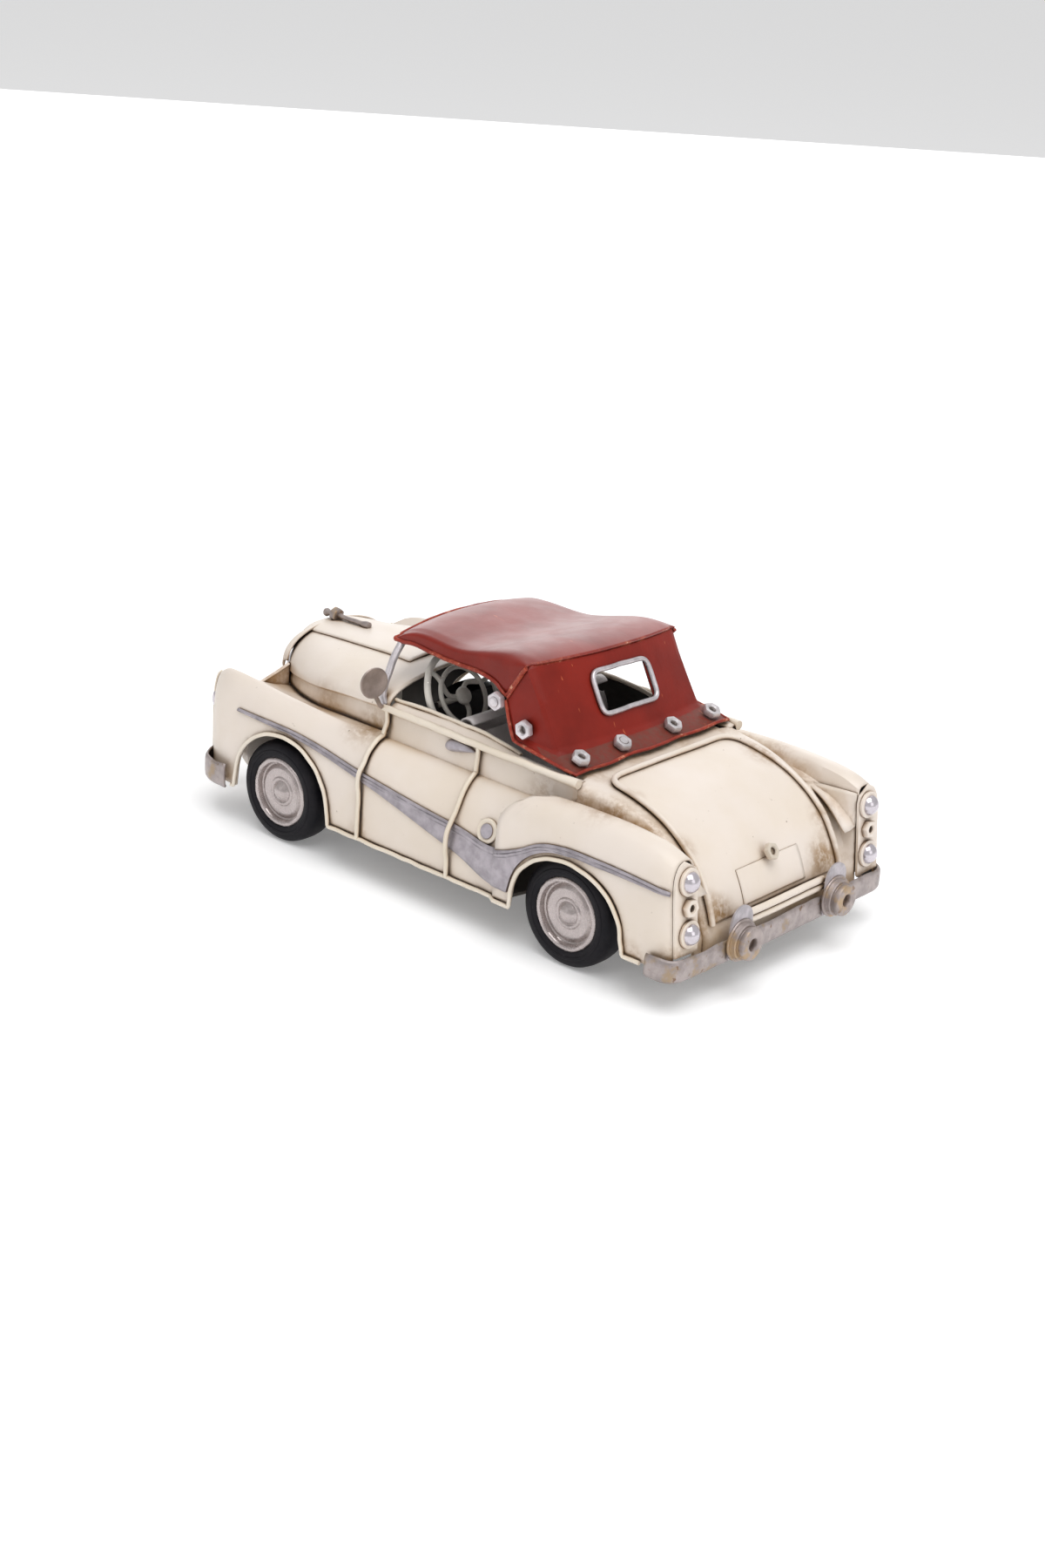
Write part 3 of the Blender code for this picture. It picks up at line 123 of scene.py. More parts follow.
class Paint:
    """Node-built material: every helper returns an output socket."""

    def __init__(self, name, **fixed):
        self.made = bpy.data.materials.new(name)
        self.made.use_nodes = True
        self.tree = self.made.node_tree
        self.shader = self.tree.nodes["Principled BSDF"]
        for key, value in fixed.items():
            self.shader.inputs[key.replace("_", " ")].default_value = value
        self.place = self.node("ShaderNodeTexCoord").outputs["Object"]

    def node(self, kind, **settings):
        made = self.tree.nodes.new(kind)
        for key, value in settings.items():
            setattr(made, key, value)
        return made

    def join(self, source, socket):
        if isinstance(source, (int, float)):
            socket.default_value = source
        elif isinstance(source, tuple):
            socket.default_value = (*source, 1) if len(source) == 3 else source
        else:
            self.tree.links.new(source, socket)

    def noise(self, size, detail=3.0, rough=0.55, stretch=None):
        """Cloudy value with features of about this many millimetres."""
        node = self.node("ShaderNodeTexNoise")
        node.inputs["Scale"].default_value = 1 / (size * MM)
        node.inputs["Detail"].default_value = detail
        node.inputs["Roughness"].default_value = rough
        source = self.place
        if stretch:
            mapping = self.node("ShaderNodeMapping")
            mapping.inputs["Scale"].default_value = stretch
            self.join(source, mapping.inputs["Vector"])
            source = mapping.outputs[0]
        self.join(source, node.inputs["Vector"])
        return node.outputs["Fac"]

    def math(self, operation, first, second=0.0):
        node = self.node("ShaderNodeMath", operation=operation)
        self.join(first, node.inputs[0])
        self.join(second, node.inputs[1])
        return node.outputs[0]

    def times(self, first, second):
        return self.math("MULTIPLY", first, second)

    def plus(self, first, second):
        return self.math("ADD", first, second)

    def minus(self, first, second):
        return self.math("SUBTRACT", first, second)

    def step(self, value, low, high, to_low=0.0, to_high=1.0):
        node = self.node("ShaderNodeMapRange", interpolation_type="SMOOTHSTEP")
        for socket, number in zip(list(node.inputs)[:5], (value, low, high, to_low, to_high)):
            self.join(number, socket)
        return node.outputs[0]

    def blend(self, share, first, second):
        node = self.node("ShaderNodeMix", data_type="RGBA")
        self.join(share, node.inputs[0])
        self.join(first, node.inputs[6])
        self.join(second, node.inputs[7])
        return node.outputs[2]

    def over(self, color, mask, share, tint):
        """The tint laid over a colour where the mask is, at most by the share."""
        return self.blend(self.times(mask, share), color, tint)

    def occlusion_shade(self, reach):
        """Ambient occlusion: 0 in the open, towards 1 in a fold or under a wire, within a reach in
        millimetres; colour darkened by it is painted shade.
        """
        node = self.node("ShaderNodeAmbientOcclusion", samples=6)
        node.inputs["Distance"].default_value = reach * MM
        return self.minus(1.0, node.outputs["AO"])

    def near(self, point, radius, edge=0.6):
        """1 at a point in millimetres, falling to 0 at the radius."""
        node = self.node("ShaderNodeVectorMath", operation="DISTANCE")
        self.join(self.place, node.inputs[0])
        node.inputs[1].default_value = Vector(point) * MM
        return self.step(node.outputs["Value"], radius * MM, radius * (1 - edge) * MM)

    def field(self, name):
        return self.node("ShaderNodeAttribute", attribute_name=name).outputs["Fac"]

    def bump(self, height, strength, distance):
        node = self.node("ShaderNodeBump")
        node.inputs["Strength"].default_value = strength
        node.inputs["Distance"].default_value = distance * MM
        self.join(height, node.inputs["Height"])
        self.join(node.outputs[0], self.shader.inputs["Normal"])

    def finish(self, color, roughness):
        self.join(color, self.shader.inputs["Base Color"])
        self.join(roughness, self.shader.inputs["Roughness"])
        return self.made


# UMBER tints the folds, partly grime and partly painted shade; SLIT_SHADE is the near-black painted shade
# in tight slits.
UMBER, SLIT_SHADE = (0.19, 0.095, 0.035), (0.045, 0.026, 0.016)


def cream_enamel(name, stains=(), base=(0.785, 0.70, 0.628)):
    """Ivory enamel with a tan painted shade and an umber wash, partly grime and partly painted shade, in
    its folds, near-black painted shade in its slits, and stains as (point, radius, strength).
    """
    p = Paint(name, Coat_Weight=0.15, Coat_Roughness=0.25)
    cloud = p.noise(22, 4)
    color = p.blend(p.step(cloud, 0.3, 0.7), base, tuple(c * f for c, f in zip(base, (0.95, 0.93, 0.88))))
    wide, tight = p.occlusion_shade(8), p.occlusion_shade(2.0)
    grit = p.noise(2.2, 5, 0.7)
    # Tan painted shade where the wide occlusion finds a fold, broken up by noise.
    shade = p.times(p.step(wide, 0.14, 0.62), p.step(p.noise(12, 4, 0.6), 0.32, 0.66, 0.3, 1.0))
    color = p.over(color, shade, 0.85, (0.50, 0.335, 0.18))
    # Umber over the tight occlusion and grit: partly grime, partly painted shade in the folds.
    shade_and_grime = p.step(p.plus(tight, p.times(grit, 0.5)), 0.42, 0.86)
    color = p.over(color, shade_and_grime, 0.8, UMBER)
    # Near-black painted shade lines in the tightest slits, between bead and sheet.
    line = p.step(p.plus(tight, p.times(grit, 0.25)), 0.64, 0.88)
    color = p.blend(line, color, SLIT_SHADE)
    for point, radius, strength in stains:
        patch = p.times(p.near(point, radius, 0.95), p.step(grit, 0.36, 0.6, 0.25, 1.0))
        color = p.over(color, patch, strength, (0.33, 0.185, 0.07))
    speck = p.step(p.noise(0.9, 2, 0.5), 0.735, 0.76)
    speck = p.times(speck, p.step(p.noise(9, 2), 0.5, 0.62))
    color = p.over(color, speck, 0.8, (0.16, 0.09, 0.04))
    rough = p.step(p.noise(6, 4), 0.3, 0.7, 0.36, 0.47)
    rough = p.plus(rough, p.times(shade_and_grime, 0.25))
    p.bump(p.plus(p.noise(1.2, 3), p.times(p.noise(7, 2), 1.5)), 0.25, 0.12)
    return p.finish(color, rough)


def red_enamel(name, base=(0.25, 0.019, 0.0105), band=False, coat=0.1):
    """Oxide red on tin, with orange rubbed through at its hems and scratches across it."""
    p = Paint(name, Coat_Weight=coat, Coat_Roughness=0.42, Specular_IOR_Level=0.18)
    cloud = p.noise(14, 4)
    color = p.blend(p.step(cloud, 0.3, 0.75), base, tuple(c * 0.72 for c in base))
    grit = p.noise(1.5, 4, 0.65)
    # Near-black in the folds from occlusion and grit: painted shade, partly grime.
    shade_and_grime = p.step(p.plus(p.occlusion_shade(3.5), p.times(grit, 0.35)), 0.45, 0.95)
    color = p.over(color, shade_and_grime, 0.85, (0.035, 0.008, 0.006))
    if band:
        skirt = p.times(p.step(p.field("band"), 0.2, 0.6), p.step(grit, 0.3, 0.65, 0.35, 0.75))
        color = p.blend(skirt, color, (0.13, 0.055, 0.04))
    if coat > 0.5:
        p.join(p.step(p.field("band"), 0.0, 1.0, coat, 0.06), p.shader.inputs["Coat Weight"])
    worn = p.minus(1.0, p.step(p.field("rim"), 0.05, 0.7))
    worn = p.times(worn, p.step(p.noise(3.2, 5, 0.7), 0.44, 0.68))
    color = p.over(color, worn, 0.6, (0.52, 0.12, 0.06))
    bare = p.times(worn, p.step(p.noise(1.1, 3, 0.6), 0.56, 0.66))
    color = p.over(color, bare, 0.8, (0.74, 0.42, 0.28))
    scratch = p.step(p.noise(1.2, 1, 0.4, stretch=(0.16, 1.6, 0.5)), 0.74, 0.765)
    scratch = p.times(scratch, p.step(p.noise(8, 2), 0.48, 0.6))
    color = p.over(color, scratch, 0.7, (0.60, 0.15, 0.06))
    rough = p.step(p.noise(5, 4), 0.3, 0.7, 0.34, 0.46)
    p.bump(p.plus(p.noise(0.9, 3), p.times(p.noise(5, 2), 1.6)), 0.3, 0.12)
    return p.finish(color, rough)


def silver_brush(name, base=(0.47, 0.435, 0.46), shade_grime_share=0.75, bleed=0.0, metallic=0.45, rough=0.40,
                 lines=False,
                 leak=(0.36, 0.26, 0.16), mottle=1.0):
    """Brushed-on silver paint, lavender grey, with brown and black in its low places; the brown laid over
    the occlusion is painted shade, partly grime.
    """
    p = Paint(name, Metallic=metallic)
    cloud = p.noise(3.2, 5, 0.6)
    color = p.blend(p.step(cloud, 0.32, 0.68), tuple(c * (1 + 0.16 * mottle) for c in base),
                    tuple(c * (1 - 0.20 * mottle) for c in base))
    grit = p.noise(1.1, 4, 0.7)
    # Brown in the folds from occlusion and grit: painted shade, partly grime; its strength is the
    # shade_grime_share argument.
    shade_and_grime = p.step(p.plus(p.occlusion_shade(2.6), p.times(grit, 0.4)), 0.42, 0.9)
    color = p.over(color, shade_and_grime, shade_grime_share, (0.13, 0.085, 0.055))
    if lines:
        across = p.field("across")
        broken = p.step(p.noise(2.2, 4, 0.7, stretch=(0.35, 1, 1)), 0.34, 0.6)
        edge = p.minus(1.0, p.step(p.math("ABSOLUTE", p.minus(across, 0.85)), 0.08, 0.30))
        second = p.minus(1.0, p.step(p.math("ABSOLUTE", p.minus(across, 1.75)), 0.05, 0.28))
        dark = p.math("MAXIMUM", edge, p.times(second, 0.6))
        color = p.blend(p.times(p.times(dark, broken), 0.9), color, (0.085, 0.075, 0.085))
    if bleed:
        patch = p.step(p.noise(6.5, 4, 0.65), 0.52, 0.66)
        color = p.over(color, patch, bleed, leak)
        spot = p.step(p.noise(2.4, 3, 0.6), 0.63, 0.70)
        color = p.over(color, spot, bleed, (0.20, 0.11, 0.055))
    p.bump(p.plus(grit, p.times(cloud, 1.2)), 0.35, 0.10)
    return p.finish(color, p.step(grit, 0.3, 0.7, rough - 0.06, rough + 0.10))


def rubber(name):
    p = Paint(name, Specular_IOR_Level=0.14)
    dust = p.noise(5, 4, 0.6)
    color = p.blend(p.step(dust, 0.35, 0.75), (0.006, 0.0055, 0.008), (0.014, 0.0125, 0.015))
    mark = p.step(p.noise(1.3, 3, 0.6), 0.68, 0.74)
    color = p.over(color, mark, 0.25, (0.10, 0.095, 0.10))
    p.bump(p.noise(0.8, 3, 0.6), 0.3, 0.08)
    return p.finish(color, p.step(dust, 0.3, 0.7, 0.42, 0.58))


def plain_metal(name, color, rough=0.35, metallic=1.0):
    p = Paint(name, Metallic=metallic)
    cloud = p.noise(2.5, 5, 0.65)
    tone = p.blend(p.step(cloud, 0.3, 0.7), color, tuple(c * 0.68 for c in color))
    # Dark brown in crevices from occlusion: painted shade.
    tone = p.blend(p.times(p.step(p.occlusion_shade(1.5), 0.3, 0.9), 0.7), tone, (0.05, 0.035, 0.02))
    p.bump(p.noise(0.5, 3), 0.2, 0.04)
    return p.finish(tone, p.step(cloud, 0.3, 0.7, rough - 0.08, rough + 0.14))


def grey_paint(name, color, rough=0.45):
    p = Paint(name)
    cloud = p.noise(6, 5, 0.6)
    tone = p.blend(p.step(cloud, 0.3, 0.7), color, tuple(c * 0.78 for c in color))
    # Near-black in folds from occlusion: painted shade.
    tone = p.blend(p.times(p.step(p.occlusion_shade(3), 0.35, 0.9), 0.8), tone, (0.03, 0.026, 0.022))
    speck = p.step(p.noise(0.8, 2), 0.70, 0.74)
    tone = p.over(tone, speck, 0.5, tuple(c * 1.9 for c in color))
    p.bump(p.noise(1.0, 3), 0.25, 0.08)
    return p.finish(tone, p.step(cloud, 0.3, 0.7, rough - 0.06, rough + 0.10))


CREAM = cream_enamel("cream_enamel", stains=(
    ((26, 29.5, 34), 9, 0.75), ((26, -29.5, 34), 9, 0.75), ((45, 26, 34), 10, 0.5),
    ((45, -26, 34), 10, 0.5),
    ((-30, 30.3, 34), 8, 0.6), ((-30, -30.3, 34), 8, 0.6), ((69, 20, 34), 8, 0.7), ((69, -20, 34), 8, 0.7),
    ((68, 38, 12), 5, 0.4), ((20, 39, 12), 5, 0.4)))
CREAM_BEAD = cream_enamel("cream_bead", base=(0.79, 0.71, 0.61))
RED_ROOF = red_enamel("red_roof", coat=0.9)
RED_CURTAIN = red_enamel("red_curtain", base=(0.235, 0.0165, 0.009), band=True, coat=0.06)
SILVER = silver_brush("silver_brush")
SPEAR = silver_brush("silver_spear", base=(0.39, 0.355, 0.385), lines=True)
BUMPER = silver_brush("silver_bumper", base=(0.365, 0.315, 0.305), bleed=0.85)
CUP = silver_brush("silver_cup", base=(0.36, 0.305, 0.29), leak=(0.46, 0.31, 0.16), bleed=0.75)
WHEEL = silver_brush("silver_wheel", base=(0.47, 0.415, 0.405), shade_grime_share=0.5, metallic=0.7, rough=0.26,
                     mottle=0.3)
RUBBER = rubber("tyre_rubber")
STEEL = plain_metal("steel", (0.52, 0.52, 0.53))
BRASS = plain_metal("brass", (0.62, 0.42, 0.16))
GREY_WIRE = grey_paint("grey_wire", (0.74, 0.70, 0.64))
SEAT = grey_paint("grey_seat", (0.72, 0.67, 0.66), 0.34)
DARK = grey_paint("dark_inside", (0.035, 0.035, 0.037), 0.6)
FLOOR_TIN = grey_paint("floor_tin", (0.10, 0.085, 0.07), 0.55)
INSIDE = grey_paint("sheet_inside", (0.045, 0.04, 0.035), 0.6)
DARK_RED = grey_paint("top_inside", (0.055, 0.018, 0.015), 0.6)
CREAM_TAIL = cream_enamel("cream_tail", stains=(
    ((-50, 30.2, 35), 9, 1.0), ((-50, -30.2, 35), 8, 0.6), ((-59, 29, 33), 9, 0.95),
    ((-59, -29, 33), 7, 0.5),
    ((-41, 30.2, 36), 7, 0.7), ((-41, -30.2, 36), 7, 0.7), ((-70, 27.5, 29), 8, 0.8),
    ((-70, -27.5, 29), 6, 0.35),
    ((-77, 38, 12), 7, 0.7), ((-77, -38, 12), 7, 0.7), ((-39, 22, 42), 5, 0.55), ((-39, 8, 42), 5, 0.45),
    ((-39, -10, 42), 6, 0.5), ((-39, -24, 42), 5, 0.5), ((-76, 27, 18), 6, 0.9), ((-76, -27, 18), 6, 0.4),
    ((72, 20, 34), 10, 0.95), ((72, -20, 34), 10, 0.95), ((-66, 40, 11), 5, 0.6), ((-66, -40, 11), 5, 0.6)))
CREAM_BOOT = cream_enamel("cream_boot", stains=(
    ((-74.5, -19.5, 20), 8, 1.0), ((-75.5, 20.5, 18), 6.5, 1.0), ((-73, 0, 28.8), 3.4, 0.8),
    ((-66, 23.5, 32), 5, 0.5),
    ((-70, -23.5, 28), 6, 0.5), ((-50, 22, 39), 4, 0.4), ((-52, -23, 38.5), 7, 0.55),
    ((-74, 23, 21), 5, 0.6)))
CREAM_NUT = cream_enamel("cream_nut", base=(0.62, 0.55, 0.47))
RED_HEM = red_enamel("red_hem", base=(0.30, 0.035, 0.022))
BRIGHT = silver_brush("silver_bright", base=(0.62, 0.58, 0.60), shade_grime_share=0.7, metallic=0.6, rough=0.33)
NUT = silver_brush("silver_nut", base=(0.60, 0.57, 0.58), shade_grime_share=0.85, metallic=0.5, rough=0.36)
MIRROR = silver_brush("silver_mirror", base=(0.33, 0.265, 0.235), shade_grime_share=0.6, metallic=0.5, rough=0.40)
PEARL = silver_brush("silver_pearl", base=(0.60, 0.56, 0.60), shade_grime_share=0.6, metallic=0.7, rough=0.16,
                     mottle=0.3)
SPEAR_PLAIN = silver_brush("silver_plain", base=(0.43, 0.395, 0.43))

for node, made in (
    ("dashboard", DARK), ("floor_pan", FLOOR_TIN), ("front_axle", STEEL), ("rear_axle", STEEL),
    ("motor_frame", STEEL), ("layshaft", BRASS), ("flywheel", BRASS),
):
    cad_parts[node].data.materials.clear()
    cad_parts[node].data.materials.append(made)


# ---------------------------------------------------------------- shape helpers

SIDES = ((1, "left"), (-1, "right"))


def smooth(x, knots):
    """Value at x on the cubic curve through the (x, value) knots."""
    xs, values = (np.array(column, float) for column in zip(*sorted(knots)))
    slopes = np.gradient(values, xs)
    x = min(max(x, xs[0]), xs[-1])
    i = min(int(np.searchsorted(xs, x, side="right")) - 1, len(xs) - 2)
    step = xs[i + 1] - xs[i]
    t = (x - xs[i]) / step
    rise = values[i + 1] - values[i]
    start, end = slopes[i] * step, slopes[i + 1] * step
    return float(values[i] + t * start + t * t * (3 * rise - 2 * start - end)
                 + t**3 * (start + end - 2 * rise))


def peak(value, middle, width):
    """1 at the middle, fading to nothing about two widths away."""
    return math.exp(-(((value - middle) / width) ** 2))


def mix(first, second, share):
    return tuple(a + (b - a) * share for a, b in zip(first, second))


def spline(points, count, closed=False):
    """Points evenly spaced along the Catmull-Rom curve through the given ones."""
    knots = [Vector(p) for p in points]
    ends = (2 * knots[0] - knots[1], 2 * knots[-1] - knots[-2])
    ring = [knots[-1]] + knots + knots[:2] if closed else [ends[0]] + knots + [ends[1]]
    fine = []
    for a, b, c, d in zip(ring, ring[1:], ring[2:], ring[3:]):
        for t in np.linspace(0, 1, 12, endpoint=False):
            fine.append(0.5 * (2 * b + (c - a) * t + (2 * a - 5 * b + 4 * c - d) * t * t
                               + (3 * b - a - 3 * c + d) * t**3))
    fine.append(ring[-2])
    return resample(fine, count + closed)[: count if closed else None]


def resample(points, count):
    """Points evenly spaced along a polyline."""
    array = np.array([tuple(p) for p in points], float)
    along = np.concatenate([[0], np.cumsum(np.linalg.norm(np.diff(array, axis=0), axis=1))])
    at = np.linspace(0, along[-1], count)
    return [tuple(p) for p in np.stack([np.interp(at, along, column) for column in array.T], axis=1)]


def hand(point, amount=0.13, size=19.0):
    """Small drift that the same place of every body sheet and wire shares, as on hand-bent tin."""
    point = Vector(point)
    return point + noise.noise_vector(point / size) * amount


def add_mesh(name, bm, material, body, nodes, angle=32, extra=()):
    mesh = bpy.data.meshes.new(name)
    bm.to_mesh(mesh)
    bm.free()
    for made in (material, *extra):
        mesh.materials.append(made)
    mesh.shade_smooth()
    mesh.set_sharp_from_angle(angle=math.radians(angle))
    obj = bpy.data.objects.new(name, mesh)
    bpy.context.scene.collection.objects.link(obj)
    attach(obj, body)
    if nodes:
        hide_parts(*nodes)
    return obj


def solid_piece(name, bm, material, nodes=(), angle=30, body="body"):
    """Turns the closed shapes' faces outwards and makes them one piece."""
    bmesh.ops.recalc_face_normals(bm, faces=bm.faces)
    return add_mesh(name, bm, material, body, nodes, angle)


def plate(bm, outline, depth):
    """Flat plate from an outline in millimetres, thickened along X."""
    face = bm.faces.new([bm.verts.new(Vector(point) * MM) for point in outline])
    made = bmesh.ops.extrude_face_region(bm, geom=[face])
    moved = [v for v in made["geom"] if isinstance(v, bmesh.types.BMVert)]
    bmesh.ops.translate(bm, verts=moved, vec=(depth * MM, 0, 0))


def flipped(points, side):
    """The points for side 1, the left, or their mirror image for side -1."""
    return [(x, y * side, z) for x, y, z in points]


def mirrored(half):
    """Right to left through a half that starts at the middle."""
    return flipped(half[:0:-1], -1) + half


def edge_distance(rows):
    """Distance in millimetres from each grid point to the sheet's nearest hem."""
    grid = np.array(rows, float)
    found = np.full(grid.shape[:2], 1e9)
    for axis in (0, 1):
        steps = np.linalg.norm(np.diff(grid, axis=axis), axis=2)
        pad = [(0, 0), (0, 0)]
        pad[axis] = (1, 0)
        along = np.cumsum(np.pad(steps, pad), axis=axis)
        total = along[-1:, :] if axis == 0 else along[:, -1:]
        found = np.minimum(found, np.minimum(along, total - along))
    return found


def sheet(name, rows, inside, material, body="body", nodes=(), thickness=TIN, skip=None,
          band=None, drift=0.13, angle=32, back=None):
    """Tin sheet through a dense grid of points, thickened towards the inside point."""
    rim = edge_distance(rows)
    across = np.array(rows, float)
    across = np.pad(np.cumsum(np.linalg.norm(np.diff(across, axis=1), axis=2), axis=1), ((0, 0), (1, 0)))
    bm = bmesh.new()
    layers = [bm.verts.layers.float.new(key) for key in ("rim", "across", "band")]
    grid = []
    for i, row in enumerate(rows):
        line = []
        for j, point in enumerate(row):
            vert = bm.verts.new(hand(point, drift) * MM)
            for layer, value in zip(layers, (rim[i, j], across[i, j], band(i, j) if band else 0.0)):
                vert[layer] = float(value)
            line.append(vert)
        grid.append(line)
    for i in range(len(rows) - 1):
        for j in range(len(rows[0]) - 1):
            if not (skip and skip(i, j)):
                bm.faces.new((grid[i][j], grid[i + 1][j], grid[i + 1][j + 1], grid[i][j + 1]))
    bmesh.ops.delete(bm, geom=[v for v in bm.verts if not v.link_faces], context="VERTS")
    bm.normal_update()
    middle = Vector(inside) * MM
    if sum(f.normal.dot(f.calc_center_median() - middle) * f.calc_area() for f in bm.faces) < 0:
        bmesh.ops.reverse_faces(bm, faces=bm.faces)
    obj = add_mesh(name, bm, material, body, nodes, angle, (back,) if back else ())
    solid = obj.modifiers.new("Tin", "SOLIDIFY")
    solid.thickness = thickness * MM
    solid.offset = -1
    solid.use_even_offset = False
    solid.use_quality_normals = True
    solid.material_offset = 1 if back else 0
    return obj


def tube(bm, points, radius, sides=10, closed=False, shake=0.0):
    """Round wire through points in millimetres; radius is a number or a function of the share along it."""
    points = [Vector(p) + noise.noise_vector(Vector(p) / 4.0) * shake for p in points]
    count = len(points)
    ways = []
    for k in range(count):
        a = points[(k - 1) % count] if closed or k else points[0]
        b = points[(k + 1) % count] if closed or k < count - 1 else points[-1]
        ways.append((b - a).normalized())
    normal = ways[0].orthogonal().normalized()
    rings = []
    for k, (point, way) in enumerate(zip(points, ways)):
        normal = (normal - way * normal.dot(way)).normalized()
        other = way.cross(normal)
        r = radius(k / (count - 1)) if callable(radius) else radius
        ring = []
        for a in np.linspace(0, 2 * math.pi, sides, endpoint=False):
            ring.append(bm.verts.new((point + (normal * math.cos(a) + other * math.sin(a)) * r) * MM))
        rings.append(ring)
    pairs = list(zip(rings, rings[1:]))
    if closed:
        best = min(range(sides), key=lambda s: (rings[-1][s].co - rings[0][0].co).length)
        pairs.append((rings[-1][best:] + rings[-1][:best], rings[0]))
    else:
        bm.faces.new(rings[0][::-1])
        bm.faces.new(rings[-1])
    for low, high in pairs:
        for k in range(sides):
            bm.faces.new((low[k], low[(k + 1) % sides], high[(k + 1) % sides], high[k]))


def wires(name, runs, material, body="body", nodes=(), drift=0.13, shake=0.07,
          sides=10):
    """One piece of several soldered wires, each (points, radius, closed)."""
    bm = bmesh.new()
    for points, radius, closed in runs:
        tube(bm, [hand(p, drift) if drift else p for p in points], radius, sides, closed, shake)
    return solid_piece(name, bm, material, nodes, 50, body=body)


def turned(bm, profile, at, direction, segments=40, turn=0.0):
    """Adds a piece turned about a line: (radius, height, hexagon share) points spun round the direction."""
    way = Vector((0, 0, 1)).rotation_difference(Vector(direction)).to_matrix()
    rings = []
    for r, h, *hexed in profile:
        ring = []
        for k in range(segments if r > 1e-6 else 1):
            a = 2 * math.pi * k / segments
            out = r * (1 + (hexagon(a + turn) - 1) * (hexed[0] if hexed else 0))
            ring.append(bm.verts.new((way @ Vector((out * math.cos(a), out * math.sin(a),
                                                    h)) + Vector(at)) * MM))
        rings.append(ring)
    for low, high in zip(rings, rings[1:]):
        for k in range(segments):
            n = (k + 1) % segments
            if len(low) == 1:
                bm.faces.new((low[0], high[n], high[k]))
            elif len(high) == 1:
                bm.faces.new((low[k], low[n], high[0]))
            else:
                bm.faces.new((low[k], low[n], high[n], high[k]))


def lathe(name, profile, at, direction, material, body="body", nodes=(), segments=40,
          angle=35):
    bm = bmesh.new()
    turned(bm, profile, at, direction, segments)
    return solid_piece(name, bm, material, nodes, angle, body=body)


def hexagon(angle):
    """Radius factor of a hexagon whose flats are at radius 1."""
    return 1 / math.cos((angle + math.pi / 6) % (math.pi / 3) - math.pi / 6)


def nut(bm, at, direction, flats=4.0, height=1.6, hole=1.05, turn=0.0):
    """Hexagon nut with rounded shoulders, and a thread that shows in its hole."""
    half = flats / 2
    profile = [(0, 0), (half * 0.98, 0, 1), (half, 0.12, 1), (half, height - 0.34, 1),
               (half * 0.95, height - 0.06, 0.9),
               (half * 0.88, height, 0.5), (hole * 1.22, height), (hole * 1.02, height - 0.22)]
    depth = height - 0.36
    while depth > 0.35:
        profile += [(hole * 0.88, depth), (hole * 1.04, depth - 0.15)]
        depth -= 0.3
    turned(bm, profile + [(0, 0.3)], at, direction, 36, turn)


# ---------------------------------------------------------------- body lines

SILL_Z, AXLE_Z, BELT_Y, FLANK_Y = 10.2, 13.0, 29.3, 38.2
FRONT_X, REAR_X = 48.5, -45.4
FRONT_ARCH, REAR_ARCH = (47.1, 16.4, 15.38), (-46.8, 16.4, 13.68)
DOOR_XS = (20.0, -9.5)
HIP_X, TAIL_X, TAIL_LEAN = -24.6, -76.6, 0.1
GUARD_Y = 18  # the round bumper guards, front and rear
LAMP_Y, TAIL_LAMP_ZS, TAIL_NUT_Z = 34.0, (30.4, 18.4), 24.5
TYRE_Y, DISC_Y = 34.0, 38.2  # middle of the tyre's width, and the disc's outer face
HANDLE_X, HANDLE_Z = -3.4, 38.6
CAP_X, CAP_Z = -19.5, 24.4
GRILLE_X, GRILLE_BOW, GRILLE_LEAN, GRILLE_Z = 80.2, 0.042, 0.06, 21


def arch_edge(x, arch):
    middle, half_width, height = arch
    share = (x - middle) / half_width
    return AXLE_Z + height * math.sqrt(1 - share * share) if abs(share) < 1 else SILL_Z


def arch_stations(arch, count):
    middle, half_width, _ = arch
    return [middle - half_width * math.cos(math.pi * k / count) * 1.0001 for k in range(count + 1)]


def stations(start, end, arch, step=1.8):
    low, high = sorted((start, end))
    found = {round(x, 3) for x in np.linspace(low, high, int((high - low) / step) + 2)}
    found |= {round(x, 3) for x in arch_stations(arch, 44) if low < x < high}
    kept = []
    for x in sorted(found):
        if not kept or x - kept[-1] > 0.06:
            kept.append(x)
    kept[-1] = round(high, 3)
    return kept


def crown(x):
    y = smooth(x, [(20, BELT_Y + 1.4), (40, 32.0), (60, 33.3), (70, 33.2), (78, 30.6)])
    z = smooth(x, [(20, 34.4), (35, 34.9), (50, 36.4), (62, 37.8), (69, 38.2), (74, 37.3), (78, 34.8)])
    return y, z


def crease(x):
    return BELT_Y + smooth(x, [(-40, 0.3), (-9.5, 0.3), (20, 0.9)]), smooth(x,
            [(-40, 33.7), (-9.5, 33.7), (20, 34.4)])


def shoulder(top, widest, power, count):
    points = []
    for k in range(count + 1):
        angle = math.pi / 2 * k / count
        points.append((top[0] + (widest[0] - top[0]) * math.sin(angle) ** (2 / power),
                       widest[1] + (top[1] - widest[1]) * math.cos(angle) ** (2 / power)))
    return points


def flank(x, count=24):
    widest = (FLANK_Y, smooth(x, [(-40, 16), (-9.5, 16), (20, 20)]))
    return shoulder(crease(x), widest, smooth(x, [(-40, 1.6), (-9.5, 1.65), (20, 2.2)]), count)


def front_flank(x, count=24):
    width = FLANK_Y + smooth(x, [(20, 0), (62, 0), (69, -0.4), (73, -1.4), (76, -3.2), (78, -5.4)])
    widest = (width, smooth(x, [(20, 20), (50, 24), (78, 24)]))
    return shoulder(crown(x), widest, smooth(x, [(20, 2.2), (60, 2.3), (78, 2.4)]), count)


def belt_z(x):
    return 41.8 - 0.012 * (20 - x)


